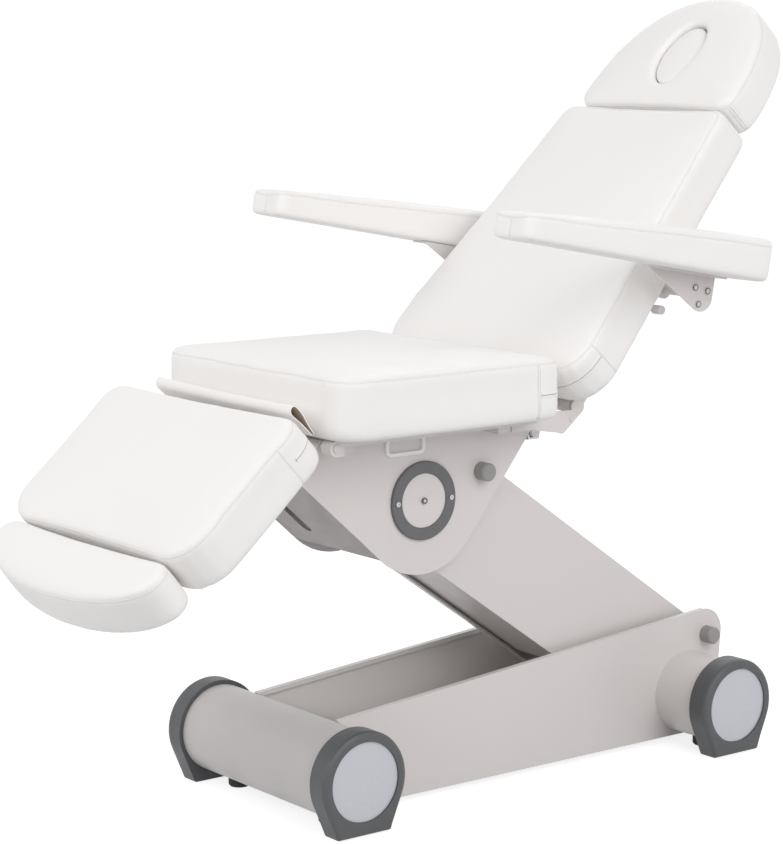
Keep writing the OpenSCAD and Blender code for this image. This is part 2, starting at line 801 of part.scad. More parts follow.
// Motors: a foot eye, a housing square to the tube, the tube with its bore. Drawn along +Y from the foot
module motor(length) {
  along = motor_neck + motor_front / 2;
  difference() {
    union() {
      bar([0, 0], eye_r, -eye_t / 2, eye_t / 2);
      translate([-eye_t / 2, 0, -eye_r * 0.7]) cube([eye_t, motor_neck + over, eye_r * 1.4]);
      translate([0, motor_neck, 0]) rotate([-90, 0, 0])
        cylinder(r = motor_tube_r + motor_wall, h = motor_front);
      translate([0, motor_neck, 0]) rotate([-90, 0, 0])
        cylinder(r = motor_tube_r, h = length - motor_neck);
      translate([0, along, -housing_l]) cylinder(r = housing_r, h = housing_l);
      translate([0, along, -housing_l - housing_cap])
        cylinder(r = housing_cap_r, h = housing_cap + over);
    }
    bar([0, 0], eye_pin_r + running, -eye_t, eye_t);
    translate([0, motor_bore, 0]) rotate([-90, 0, 0]) cylinder(r = motor_rod_r + running, h = length);
  }
}
module in_line(foot, eye) { at(foot) rotate([atan2(eye.y - foot.y, eye.x - foot.x), 0, 0]) children(); }
lift_end = arm_point(lift_eye_arm.x, -lift_eye_arm.y);
lift_gap = norm(lift_end - lift_foot);
lift_tube_l = lift_gap * lift_share;
module lift_motor() { color(black) centred() in_line(lift_foot, lift_end) motor(lift_tube_l); }
module lift_rod() {
  hole = cross_r + lift_play;
  start = lift_tube_l / 2;
  color(steel) centred() in_line(lift_foot, lift_end) difference() {
    union() {
      translate([0, start, 0]) rotate([-90, 0, 0])
        cylinder(r = motor_rod_r, h = lift_gap - start - cross_r);
      bar([lift_gap, 0], hole + lift_ring, -eye_t / 2, eye_t / 2);
    }
    bar([lift_gap, 0], hole, -eye_t, eye_t);
  }
}
back_end = back_hinge + back_lever * [sin(back_lever_turn), -cos(back_lever_turn)];
leg_end = leg_hinge - [0, leg_lever];
module back_motor() { color(black) centred() translate([back_motor_x, 0, 0]) at(back_foot)
  motor(back_tube_l); }
module leg_motor() {
  color(black) centred() translate([leg_motor_x, 0, 0]) at(leg_foot) mirror([0, 1, 0])
    motor(leg_tube_l);
}
// A rod with its slotted head: the pin stands at [along, up] from the rod's axis at rest
module yoke_rod(start, pin, slot) {
  half = eye_pin_r + yoke_play;
  low = pin.y - slot[0] - eye_pin_r;
  high = pin.y + slot[1] + eye_pin_r;
  difference() {
    union() {
      translate([0, start, 0]) rotate([-90, 0, 0]) cylinder(r = motor_rod_r, h = pin.x - half - start);
      translate([-eye_t / 2, pin.x - half - yoke_wall, low - yoke_end])
        cube([eye_t, 2 * (half + yoke_wall), high - low + 2 * yoke_end]);
    }
    translate([-eye_t, pin.x - half, low]) cube([2 * eye_t, 2 * half, high - low]);
  }
}
module back_rod() {
  color(steel) centred() translate([back_motor_x, 0, 0]) at(back_foot)
    yoke_rod(back_rod_in, back_end - back_foot, back_slot_h);
}
module leg_rod() {
  pin = [leg_foot.x - leg_end.x, leg_end.y - leg_foot.y];
  color(steel) centred() translate([leg_motor_x, 0, 0]) at(leg_foot) mirror([0, 1, 0])
    yoke_rod(leg_rod_in, pin, leg_slot_h);
}
// Cross plate between the bracket's sides, with the cheeks that both motors' feet are pinned in
module motor_mount() {
  plate_z = bracket_top - mount_drop - mount_t;
  cheek = eye_t / 2 + play;
  from = min(back_foot.x, leg_foot.x) - mount_over;
  to = max(back_foot.x, leg_foot.x) + mount_over;
  color(paint) centred() {
    translate([-bracket_in, from, plate_z]) cube([2 * bracket_in, to - from, mount_t]);
    for (m = [[back_motor_x, back_foot], [leg_motor_x, leg_foot]]) {
      both_sides_of(m[0]) across(cheek, cheek + ear_t) {
        translate(m[1]) circle(r = eye_r);
        translate([m[1].x - eye_r, m[1].y]) square([2 * eye_r, plate_z + over - m[1].y]);
      }
      translate([m[0], 0, 0]) bar(m[1], eye_pin_r, -cheek - over, cheek + over);
    }
  }
}

// Seat bracket: two side plates, round below, with a sloping front panel between them
nose_a = tangent_angle(bracket_nose, link_high, bracket_r, 1);
rear_a = tangent_angle(bracket_rear, link_high, bracket_r, -1);
module bracket_shape() {
  difference() {
    polygon(concat(
      [for (i = [0:32]) ring_point(link_high, bracket_r, nose_a + turn_of(nose_a, rear_a) * i / 32)],
      [bracket_rear, [bracket_nose.x, bracket_top], bracket_nose]));
    translate(upper) circle(r = shaft_r + running);
    translate(link_high) circle(r = link_pin_r + running);
  }
}
module bracket_side() { color(paint) across(bracket_in, bracket_half) bracket_shape(); }
module bracket_right() { centred() bracket_side(); }
module bracket_left() { centred() mirror([1, 0, 0]) bracket_side(); }
// Front panel with the open slot that the leg motor's rod head works through
module bracket_front() {
  low = ring_point(link_high, bracket_r, nose_a);
  dir = bracket_nose - low;
  color(paint) centred() at(low) rotate([atan2(dir.y, dir.x), 0, 0]) difference() {
    translate([-bracket_in, 0, -panel_in - panel_t]) cube([2 * bracket_in, norm(dir), panel_t]);
    translate([leg_motor_x, slot_from, -panel_in - panel_t - over]) {
      cylinder(r = slot_r, h = panel_t + 2 * over);
      translate([-slot_r, 0, 0]) cube([2 * slot_r, norm(dir), panel_t + 2 * over]);
    }
  }
}
module link_pin() { color(steel) centred() bar(link_high, link_pin_r, -bracket_half, bracket_half); }
// Cover ring, disc and screws over the link pin on each side
module hinge_rings() {
  color(plastic) centred() both_sides() at(link_high) translate([bracket_half, 0, 0]) rotate([0, 90, 0])
    rotate_extrude() polygon([[ring_in, 0], [ring_r, 0], [ring_r, ring_t - ring_edge],
      [ring_r - ring_edge, ring_t], [ring_in + ring_edge, ring_t], [ring_in, ring_t - ring_edge]]);
}
module hinge_discs() {
  color(paint) centred() both_sides() difference() {
    bar(link_high, ring_in - weld, bracket_half, bracket_half + disc_t);
    bar(link_high, screw_r, bracket_half + disc_t - screw_t, bracket_half + disc_t + over);
  }
}
module screw_head(r, t) {
  difference() {
    cylinder(r = r, h = t);
    translate([0, 0, t * 0.4]) cylinder(r = screw_socket, h = t);
  }
}
module ring_screws() {
  middle = (ring_r + ring_in) / 2;
  color(steel) centred() both_sides() {
    for (s = [-1, 1]) at(link_high + [s * middle, 0]) translate([bracket_half + ring_t, 0, 0])
      rotate([0, 90, 0]) screw_head(screw_r, screw_t);
    at(link_high) translate([bracket_half + disc_t - screw_t, 0, 0]) rotate([0, 90, 0])
      screw_head(screw_r - weld, screw_t);
  }
}
// Loop that a hand control hangs on, under the seat on the right side
module remote_hanger() {
  y0 = link_high.x - hanger_y;
  z1 = bracket_top - hanger_drop;
  w = hanger_wire;
  color([0.94, 0.93, 0.92]) centred() across(bracket_half, bracket_half + w) {
    difference() {
      polygon(rounded(slab(y0, y0 + hanger.x, z1 - hanger.y, z1, hanger_r, hanger_r)));
      polygon(rounded(slab(y0 + w, y0 + hanger.x - w, z1 - hanger.y + w, z1 - w, hanger_r - w,
        hanger_r - w)));
    }
    translate([y0 + (hanger.x - hanger_lug) / 2, z1 - over]) square([hanger_lug, hanger_drop + over]);
  }
}

// Seat frame: two rails with bored front ends, two cross bars standing on the bracket's plates
module seat_frame() {
  rail_in = rail_x - frame_w / 2;
  color(paint) centred() {
    both_sides() across(rail_in, rail_in + frame_w) difference() {
      union() {
        translate([leg_hinge.x, bracket_top]) square([seat_rear - rail_end_in - leg_hinge.x, frame_h]);
        translate(leg_hinge) circle(r = frame_h / 2);
      }
      translate(leg_hinge) circle(r = pin_r + running);
    }
    for (y = [seat_front + bar_front_in, seat_rear - bar_rear_in])
      translate([-rail_in - over, y - frame_w / 2, bracket_top])
        cube([2 * (rail_in + over), frame_w, frame_h]);
  }
}
module seat_board() {
  half = pad_half - board_in;
  color(ply) centred() translate([0, 0, seat_board_z]) linear_extrude(seat_board_t)
    polygon(rounded(slab(-half, half, seat_front + board_in, seat_rear - board_in, board_front_r,
      board_rear_r)));
}
module seat_cushion() {
  half = pad_half - board_in + seam;
  color(leather) centred() difference() {
    translate([0, 0, seat_board_z + hem]) pad(
      pad_corners(slab(-pad_half, pad_half, seat_front, seat_rear, plate_front_r, plate_rear_r)),
      [0, (seat_front + seat_rear) / 2], seat_t + seat_board_t - hem, pad_edge, pad_low, pad_draw,
      pad_crown);
    translate([0, 0, seat_board_z]) linear_extrude(seat_board_t) polygon(rounded(slab(-half, half,
      seat_front + board_in - seam, seat_rear - board_in + seam, board_front_r, board_rear_r)));
  }
}
module strip(p, t) {
  for (i = [0:len(p) - 2]) let (d = unit(p[i + 1] - p[i]), n = [-d.y, d.x] * t / 2)
    polygon([p[i] + n, p[i] - n, p[i + 1] - n, p[i + 1] + n]);
  for (i = [1:len(p) - 2]) translate(p[i]) circle(r = t / 2);
}
module seat_flap() {
  half_t = flap_t / 2;
  seat_side = [seat_front - half_t - seam, seat_board_z + flap_end];
  leg_side = leg_point(leg_start - half_t - seam, leg_rail_v + flap_end);
  color(leather) centred() across(-flap_half, flap_half) {
    difference() {
      translate(flap_top) circle(r = flap_r + half_t);
      translate(flap_top) circle(r = flap_r - half_t);
      translate(flap_top - [2 * flap_r, 2 * flap_r]) square([4 * flap_r, 2 * flap_r]);
    }
    strip([flap_top + [flap_r, 0], [seat_front - flap_seat.x, seat_z + flap_seat.y], seat_side],
      flap_t);
    strip([flap_top - [flap_r, 0], leg_point(leg_start - flap_leg.x, leg_board_v + flap_leg.y),
      leg_side], flap_t);
  }
}
// Ear plates welded inside the rails' rear ends, with the back's and the leg's hinge pins
module hinge_plates() {
  x1 = rail_x - frame_w / 2;
  x0 = x1 - ear_plate_t;
  tip = [seat_rear + ear_tip.x, bracket_top - ear_tip.y];
  rear = seat_rear - ear_front;
  low_a = tangent_angle(tip, back_hinge, ear_r, 1);
  color(paint) centred() both_sides() {
    across(x0, x1) {
      translate(back_hinge) circle(r = ear_r);
      translate(tip) circle(r = ear_tip_r);
      polygon([[rear, bracket_top], [seat_rear, bracket_top], ring_point(tip, ear_tip_r, ear_tip_high_a),
        ring_point(tip, ear_tip_r, ear_tip_low_a), ring_point(back_hinge, ear_r, low_a), back_hinge,
        [back_hinge.x - ear_r / 2, bracket_top + frame_h], [rear, bracket_top + frame_h]]);
    }
    bar(back_hinge, pin_r, back_rail_x - back_rail_w / 2, x1);
    bar(leg_hinge, pin_r, leg_rail_x - leg_rail_w / 2, rail_x + frame_w / 2 + tube_wall);
    bar([seat_rear + ear_bolt.x, bracket_top + ear_bolt.y], screw_r, x1 - over, x1 + screw_t);
  }
}

// Back: everything is drawn along Y (up the back) and Z (towards the face) from the back hinge
module on_back() { at(back_hinge) rotate([back_angle, 0, 0]) children(); }
module back_frame() {
  rail_in = back_rail_x - back_rail_w / 2;
  rail_low = back_rail_v - back_rail_h;
  rail_out = rail_in + back_rail_w;
  rail_end = rest_pivot_u + back_rail_more;
  lug_out = head_rail_x - head_rail_w / 2;
  head_end = back_end_u - head_rail_in;
  cheek = eye_t / 2 + play;
  color(paint) centred() on_back() {
    both_sides() {
      across(rail_in, rail_out) difference() {
        union() {
          circle(r = ear_r);
          translate([0, rail_low]) square([rail_end, back_rail_h]);
        }
        circle(r = pin_r + running);
      }
      bar([rest_pivot_u, rest_pivot_v], rest_shaft_r, rail_out - over,
        rest_plate_x - rest_plate_t - play);
      bar([rest_pivot_u, rest_pivot_v], rest_flange_r, rail_out + rest_flange_x - rest_flange_t,
        rail_out + rest_flange_x);
      bar([clamp_u, clamp_v - clamp_r], clamp_r / 2, rail_out - over, rail_out + clamp_x);
      bar([clamp_u, clamp_v - clamp_r], clamp_r, rail_out + clamp_x, rail_out + clamp_x + clamp_l);
      translate([lug_out, rest_pivot_u + back_bars[1], rail_low])
        cube([head_rail_w, head_end - rest_pivot_u - back_bars[1], back_rail_h]);
      across(lug_out, lug_out + head_lug_t) difference() {
        union() {
          translate([head_hinge_u, head_hinge_v]) circle(r = head_lug_r);
          translate([head_end - head_rail_in, head_hinge_v - head_lug_r])
            square([head_hinge_u - head_end + head_rail_in, 2 * head_lug_r]);
        }
        translate([head_hinge_u, head_hinge_v]) circle(r = pin_r + running);
      }
    }
    for (u = back_bars) translate([-rail_in - over, rest_pivot_u + u, rail_low])
      cube([2 * (rail_in + over), back_bar_w, back_rail_h]);
    ring([0, 0], back_tube_r, back_tube_r - tube_wall, -rail_in - over, rail_in + over);
  }
  color(paint) centred() at(back_hinge) rotate([back_lever_turn, 0, 0])
    lever(back_motor_x, back_lever, back_tube_r);
}
// Two cheeks hanging from a hinge tube, with the pin that rides in a rod's head
module lever(x, length, tube) {
  cheek = eye_t / 2 + play;
  both_sides_of(x) across(cheek, cheek + ear_t) difference() {
    union() {
      translate([0, -length]) circle(r = lever_half + over);
      translate([-lever_half, -length]) square([2 * lever_half, length]);
    }
    circle(r = tube - tube_wall / 2);
  }
  translate([x, 0, 0]) bar([0, -length], eye_pin_r, -cheek - over, cheek + over);
}
module back_board() {
  color(ply) centred() on_back() translate([0, 0, back_rail_v]) linear_extrude(board_t)
    polygon(rounded([
    [-pad_half + back_board_in, back_start + back_board_low, back_board_r],
    [pad_half - back_board_in, back_start + back_board_low, back_board_r],
    [back_top_half - back_board_in, back_end_u - back_board_high, back_board_top_r],
    [-back_top_half + back_board_in, back_end_u - back_board_high, back_board_top_r]]));
}
module back_cushion() {
  color(leather) centred() on_back() translate([0, 0, back_board_v]) pad(pad_corners([
    [-pad_half, back_start, back_low_r], [pad_half, back_start, back_low_r],
    [back_top_half, back_end_u, back_high_r], [-back_top_half, back_end_u, back_high_r]]),
    [0, (back_start + back_end_u) / 2], back_t, pad_edge, back_low, pad_draw, pad_crown);
}
// Head: a steel plate on the head hinge, the pad with its face hole, and the plug in the hole
head_power = 2.2;
foot_power = 1.96;
function hole_outline(wider) = [for (i = [0:31]) let (a = 360 * i / 32)
  [(hole_half + wider) * cos(a), hole_u + (hole_len / 2 + wider) * sin(a)]];
module head_plate() {
  lug = head_rail_x - head_rail_w / 2 + head_lug_t + head_lug_gap;
  plate_low = back_board_v - head_plate_t;
  color(paint) centred() on_back() {
    translate([0, 0, plate_low]) linear_extrude(head_plate_t) difference() {
      polygon([for (p = moon(head_half - head_plate_in, head_len - head_plate_in - head_plate_low,
        head_r, head_power))
        [p[0], p[1] + head_start + head_plate_low]]);
      polygon(hole_outline(-hole_rim));
    }
    both_sides() across(lug, lug + head_lug_t) difference() {
      union() {
        translate([head_hinge_u, head_hinge_v]) circle(r = head_lug_r);
        polygon([[head_hinge_u, head_hinge_v - head_lug_r],
          [head_start + head_lug_end, plate_low - head_lug_t], [head_start + head_lug_end,
            plate_low + over],
          [head_start + head_plate_low + over, plate_low + over], [head_hinge_u,
            head_hinge_v + head_lug_r]]);
      }
      translate([head_hinge_u, head_hinge_v]) circle(r = pin_r - over);
    }
    bar([head_hinge_u, head_hinge_v], pin_r, -lug - over, lug + over);
  }
}
module head_cushion() {
  color(leather) centred() on_back() difference() {
    translate([0, 0, back_board_v]) pad([for (p = moon(head_half, head_len, head_r, head_power))
      [p[0], p[1] + head_start, p[2], p[3], p[4]]],
      [0, head_start + head_len * 0.46], back_t, head_edge, head_low, pad_draw, head_crown);
    translate([0, 0, back_board_v - over]) linear_extrude(back_t + 2 * over) polygon(hole_outline(0));
  }
}
module face_plug() {
  w = hole_half - 2 * seam;
  l = hole_len / 2 - 2 * seam;
  outline = [for (i = [0:27]) let (a = 360 * i / 28, n = unit([cos(a) / w, sin(a) / l]))
    [w * cos(a), hole_u + l * sin(a), -n.x, -n.y, 0]];
  color(leather) centred() on_back() translate([0, 0, back_board_v + seam])
    pad(outline, [0, hole_u], back_t - 3 * seam, plug_edge, plug_low, 0, plug_crown);
}

// Armrests: drawn from the pivot on the back's frame, -Y towards the foot end
rest_pivot = back_point(rest_pivot_u, rest_pivot_v);
module on_rest() { at(rest_pivot) rotate([-rest_angle, 0, 0]) children(); }
module rest_bracket() {
  x1 = rest_plate_x;
  x0 = x1 - rest_plate_t;
  nose = [rest_nose_w, rest_rise];
  a0 = tangent_angle(nose, rest_lobe, rest_lobe_r, -1);
  color(paint) on_rest() mirror([0, 1, 0]) {
    across(x0, x1) polygon(concat([nose], [for (i = [0:16])
      ring_point(rest_lobe, rest_lobe_r, a0 + (-180 - a0) * i / 16)], [[rest_lobe.x - rest_lobe_r,
        rest_rise]]));
    translate([x1 - over, rest_lobe.x - rest_lobe_r, rest_rise - rest_plate_t])
      cube([rest_shelf, rest_nose_w - rest_lobe.x + rest_lobe_r, rest_plate_t]);
    for (i = [0:2]) let (p = ring_point([0, 0], rest_screw_ring, 35 + 120 * i))
      at(p) translate([x1, 0, 0]) rotate([0, 90, 0]) screw_head(rest_screw_r, screw_t);
    difference() {
      bar([0, 0], rest_hub_r, x0 - rest_hub_l, x0 + over);
      bar([0, 0], rest_shaft_r + running, x0 - rest_hub_l - over, x0);
    }
  }
}
module rest_bracket_right() { centred() rest_bracket(); }
module rest_bracket_left() { centred() mirror([1, 0, 0]) rest_bracket(); }
module rest_board() {
  half = rest_half - rest_board_in;
  color(ply) on_rest() translate([rest_x, 0, rest_rise]) linear_extrude(board_t)
    polygon(rounded(slab(-half, half, rest_y0 + rest_board_in, rest_y1 - rest_board_in,
      rest_board_r, rest_board_r)));
}
module rest_board_right() { centred() rest_board(); }
module rest_board_left() { centred() mirror([1, 0, 0]) rest_board(); }
module rest_cushion() {
  mid_t = rest_t * (1 + rest_front_share) / 2 + board_t - hem;
  slope = rest_t * (1 - rest_front_share) / mid_t / rest_len;
  half = rest_half - rest_board_in + seam;
  color(leather) on_rest() translate([rest_x, 0, rest_rise]) difference() {
    translate([0, 0, hem]) pad(
      pad_corners(slab(-rest_half, rest_half, rest_y0, rest_y1, rest_corner, rest_corner)),
      [0, (rest_y0 + rest_y1) / 2], mid_t, rest_edge, rest_low, rest_draw, rest_crown, slope);
    linear_extrude(board_t) polygon(rounded(slab(-half, half, rest_y0 + rest_board_in - seam,
      rest_y1 - rest_board_in + seam, rest_board_r, rest_board_r)));
  }
}
module rest_cushion_right() { centred() rest_cushion(); }
module rest_cushion_left() { centred() mirror([1, 0, 0]) rest_cushion(); }

// Leg: drawn along -Y (u, towards the foot) and Z (v, towards the face) from the leg hinge
module on_leg() { at(leg_hinge) rotate([leg_angle, 0, 0]) children(); }
module leg_frame() {
  rail_in = leg_rail_x - leg_rail_w / 2;
  rail_low = leg_rail_v - leg_rail_h;
  rail_from = leg_start + leg_board_in;
  rail_end = leg_end_u - leg_rail_in;
  color(paint) centred() on_leg() mirror([0, 1, 0]) {
    both_sides() across(rail_in, rail_in + leg_rail_w) difference() {
      union() {
        circle(r = leg_eye_r);
        polygon([[0, leg_eye_r], [leg_rail_rise, leg_eye_r], [rail_from, leg_rail_v], [rail_end,
          leg_rail_v],
          [rail_end, rail_low], [rail_from, rail_low], [0, -leg_eye_r]]);
      }
      circle(r = pin_r + running);
    }
    for (u = [leg_start + leg_bar_low, leg_end_u - leg_bar_high]) difference() {
      translate([-rail_in - over, u - leg_bar_w / 2, rail_low])
        cube([2 * (rail_in + over), leg_bar_w, leg_rail_h]);
      both_sides() translate([runner_x, u - leg_bar_w, runner_v]) rotate([-90, 0, 0])
        cylinder(r = runner_r + running, h = 2 * leg_bar_w);
    }
    ring([0, 0], leg_eye_r, leg_eye_r - tube_wall, -rail_in - over, rail_in + over);
  }
  color(paint) centred() at(leg_hinge) lever(leg_motor_x, leg_lever, leg_eye_r);
}
module leg_board() {
  half = pad_half - leg_board_in;
  color(ply) centred() on_leg() translate([0, 0, leg_rail_v]) linear_extrude(seat_board_t)
    polygon(rounded(slab(-half, half, -leg_end_u + leg_board_in, -leg_start - leg_board_in,
      board_front_r, board_rear_r)));
}
module leg_cushion() {
  half = pad_half - leg_board_in + seam;
  color(leather) centred() on_leg() translate([0, 0, leg_rail_v]) difference() {
    translate([0, 0, hem]) pad(
      pad_corners(slab(-pad_half, pad_half, -leg_end_u, -leg_start, leg_low_r, leg_high_r)),
      [0, -(leg_start + leg_end_u) / 2], leg_t + seat_board_t - hem, pad_edge, pad_low, pad_draw,
      pad_crown);
    linear_extrude(seat_board_t) polygon(rounded(slab(-half, half, -leg_end_u + leg_board_in - seam,
      -leg_start - leg_board_in + seam, board_front_r, board_rear_r)));
  }
}
// Foot pad: its own plane starts at the leg pad's end, a little lower and flatter; two runners carry it
module on_foot() {
  on_leg() translate([0, -leg_end_u - foot_gap, leg_face - foot_drop]) rotate([-foot_turn, 0, 0])
    children();
}
module foot_frame() {
  color(steel) centred() {
    on_foot() translate([0, 0, -foot_t - foot_plate_t]) linear_extrude(foot_plate_t)
      polygon([for (p = moon(foot_half - foot_plate_in, foot_len - foot_plate_in, foot_plate_r,
        foot_power))
        [p[0], -p[1] - foot_plate_gap]]);
    on_leg() both_sides() {
      translate([runner_x, -leg_end_u - runner_past, runner_v]) rotate([-90, 0, 0])
        cylinder(r = runner_r, h = leg_end_u + runner_past - runner_from);
      translate([runner_x - runner_r, -leg_end_u - runner_past, runner_v - runner_r])
        cube([2 * runner_r, runner_past - foot_plate_gap, 2 * runner_r + runner_step]);
    }
  }
}
module foot_cushion() {
  color(leather) centred() on_foot() translate([0, 0, -foot_t]) rotate([0, 0, 180])
    pad(moon(foot_half, foot_len, foot_r_corner, foot_power), [0, foot_len * 0.44], foot_t, foot_edge,
      foot_low, pad_draw, foot_crown);
}

side_plate_right();
side_plate_left();
base_floor();
tray_slope();
front_tube();
rear_tubes();
rear_cover();
front_caps();
rear_caps();
cap_lenses();
base_feet();
lower_shaft();
lower_knobs();
base_ears();
control_box();
mains_inlet();
arm_shell();
arm_underplate();
arm_crosstube();
parallel_link();
lift_motor();
lift_rod();
bracket_right();
bracket_left();
bracket_front();
motor_mount();
upper_shaft();
upper_knobs();
link_pin();
hinge_rings();
hinge_discs();
ring_screws();
remote_hanger();
seat_frame();
seat_board();
seat_cushion();
seat_flap();
hinge_plates();
back_frame();
back_board();
back_cushion();
head_plate();
head_cushion();
face_plug();
rest_bracket_right();
rest_board_right();
rest_cushion_right();
rest_bracket_left();
rest_board_left();
rest_cushion_left();
leg_frame();
leg_board();
leg_cushion();
foot_frame();
foot_cushion();
back_motor();
back_rod();
leg_motor();
leg_rod();
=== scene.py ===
import json
import math

import bpy
import numpy as np
from mathutils import Matrix, Vector, noise
from mathutils.bvhtree import BVHTree
from mathutils.kdtree import KDTree


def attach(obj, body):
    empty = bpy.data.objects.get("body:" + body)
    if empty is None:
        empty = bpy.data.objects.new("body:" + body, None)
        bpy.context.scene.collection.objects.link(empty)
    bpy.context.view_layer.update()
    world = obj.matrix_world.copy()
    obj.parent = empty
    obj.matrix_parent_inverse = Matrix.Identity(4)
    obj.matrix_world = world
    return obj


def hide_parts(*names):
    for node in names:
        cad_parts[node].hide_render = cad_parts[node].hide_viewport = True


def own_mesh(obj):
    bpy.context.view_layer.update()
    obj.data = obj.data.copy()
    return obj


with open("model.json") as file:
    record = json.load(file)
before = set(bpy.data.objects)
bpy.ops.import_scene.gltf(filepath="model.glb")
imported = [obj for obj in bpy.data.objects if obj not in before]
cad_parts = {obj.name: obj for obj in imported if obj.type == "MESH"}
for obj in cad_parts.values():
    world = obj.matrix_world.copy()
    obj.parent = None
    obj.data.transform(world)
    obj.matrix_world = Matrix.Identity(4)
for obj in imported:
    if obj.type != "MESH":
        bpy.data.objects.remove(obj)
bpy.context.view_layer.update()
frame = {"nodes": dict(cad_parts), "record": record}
nodes = frame["nodes"]
print("frame loaded:", len(nodes), "nodes")

mm = 0.001
tiny = 1e-9
mergeWithin = 0.02  # corners of a CAD node that are closer than this are one, in mm


def pickOnly(obj):
    bpy.ops.object.select_all(action="DESELECT")
    obj.select_set(True)
    bpy.context.view_layer.objects.active = obj


def addObject(name, data):
    obj = bpy.data.objects.new(name, data)
    bpy.context.scene.collection.objects.link(obj)
    return obj


def applyModifier(obj, kind, **values):
    pickOnly(obj)
    step = obj.modifiers.new(kind.lower(), kind)
    for key, value in values.items():
        setattr(step, key, value)
    bpy.ops.object.modifier_apply(modifier=step.name)


def turnFacesOut(obj, merge=False):
    pickOnly(obj)
    bpy.ops.object.mode_set(mode="EDIT")
    bpy.ops.mesh.select_all(action="SELECT")
    if merge:
        bpy.ops.mesh.remove_doubles(threshold=mergeWithin * mm)
    bpy.ops.mesh.normals_make_consistent(inside=False)
    bpy.ops.object.mode_set(mode="OBJECT")


def smoothUnder(obj, degrees):
    # edges sharper than this stay crisp
    pickOnly(obj)
    bpy.ops.object.shade_smooth_by_angle(angle=math.radians(degrees))


def smoothAll(obj):
    pickOnly(obj)
    bpy.ops.object.shade_smooth()


def copyOfNode(name, newName):
    obj = addObject(newName, nodes[name].data.copy())
    turnFacesOut(obj, merge=True)
    obj.data.materials.clear()
    return obj


def readPoints(obj):
    points = np.empty(len(obj.data.vertices) * 3)
    obj.data.vertices.foreach_get("co", points)
    return points.reshape(-1, 3)


def writePoints(obj, points):
    obj.data.vertices.foreach_set("co", points.ravel())
    obj.data.update()


def readNormals(obj):
    normals = np.empty(len(obj.data.vertices) * 3)
    obj.data.vertices.foreach_get("normal", normals)
    return normals.reshape(-1, 3)


view = {
    "place": (3.9861, -3.118828, 1.4899),
    "turn": 52.12,
    "down": 8.41,
    "lens": 110.005,
    "sensor": 36,
    "shift": (-0.02944, -0.01459),
    "reach": 60,
}


def placeCamera():
    lens = bpy.data.cameras.new("photoView")
    lens.lens = view["lens"]
    lens.sensor_width = view["sensor"]
    lens.sensor_fit = "AUTO"
    lens.shift_x, lens.shift_y = view["shift"]
    lens.clip_end = view["reach"]
    camera = addObject("photoView", lens)
    camera.location = view["place"]
    camera.rotation_euler = (math.radians(90 - view["down"]), 0, math.radians(view["turn"]))
    bpy.context.scene.camera = camera
    bpy.context.scene.view_settings.view_transform = "Standard"


studio = {
    "floorSize": 30,
    "floorColour": (0.66, 0.66, 0.66, 1),
    "floorGlow": 0.8,
    "floorShade": (0.42, 0.42, 0.42, 1),
    "skyColour": (1, 1, 1, 1),
    "skyStrength": 0.58,
    "aim": (0, 0, 0.7),
    "lamps": [
        # place, size, power, colour
        ((-1.2, -4.4, 3.0), 3.2, 76, (1.0, 0.99, 0.985)),
        ((4.6, -0.2, 3.2), 3.4, 98, (1.0, 0.99, 0.985)),
        ((-2.2, 3.2, 3.8), 3.0, 34, (1, 1, 1)),
    ],
}


def shownRay(tree):
    # 1 for what the camera sees directly, in a mirror or through glass
    path = tree.nodes.new("ShaderNodeLightPath")
    total = path.outputs["Is Camera Ray"]
    for ray in ("Is Glossy Ray", "Is Transmission Ray"):
        add = tree.nodes.new("ShaderNodeMath")
        add.operation = "ADD"
        add.use_clamp = True
        tree.links.new(total, add.inputs[0])
        tree.links.new(path.outputs[ray], add.inputs[1])
        total = add.outputs[0]
    return total


def splitRays(tree, out, real, shown):
    # "real" lights the bed, "shown" is the background in the picture
    mix = tree.nodes.new("ShaderNodeMixShader")
    tree.links.new(shownRay(tree), mix.inputs[0])
    tree.links.new(real.outputs[0], mix.inputs[1])
    tree.links.new(shown.outputs[0], mix.inputs[2])
    tree.links.new(mix.outputs[0], out.inputs["Surface"])


def layFloor():
    bpy.ops.object.select_all(action="DESELECT")
    bpy.ops.mesh.primitive_plane_add(size=studio["floorSize"], location=(0, 0, 0))
    floor = bpy.context.active_object
    floor.name = "studioFloor"
    mat = bpy.data.materials.new("studioFloor")
    mat.use_nodes = True
    tree = mat.node_tree
    tree.nodes.clear()
    out = tree.nodes.new("ShaderNodeOutputMaterial")
    real = tree.nodes.new("ShaderNodeBsdfDiffuse")
    real.inputs["Color"].default_value = studio["floorColour"]
    shade = tree.nodes.new("ShaderNodeBsdfDiffuse")
    shade.inputs["Color"].default_value = studio["floorShade"]
    glow = tree.nodes.new("ShaderNodeEmission")
    glow.inputs["Strength"].default_value = studio["floorGlow"]
    shown = tree.nodes.new("ShaderNodeAddShader")
    tree.links.new(shade.outputs[0], shown.inputs[0])
    tree.links.new(glow.outputs[0], shown.inputs[1])
    splitRays(tree, out, real, shown)
    floor.data.materials.append(mat)


def lightSky():
    world = bpy.data.worlds.new("studioSky")
    bpy.context.scene.world = world
    world.use_nodes = True
    tree = world.node_tree
    tree.nodes.clear()
    out = tree.nodes.new("ShaderNodeOutputWorld")
    real = tree.nodes.new("ShaderNodeBackground")
    real.inputs["Color"].default_value = studio["skyColour"]
    real.inputs["Strength"].default_value = studio["skyStrength"]
    shown = tree.nodes.new("ShaderNodeBackground")
    shown.inputs["Color"].default_value = studio["skyColour"]
    shown.inputs["Strength"].default_value = 1
    splitRays(tree, out, real, shown)


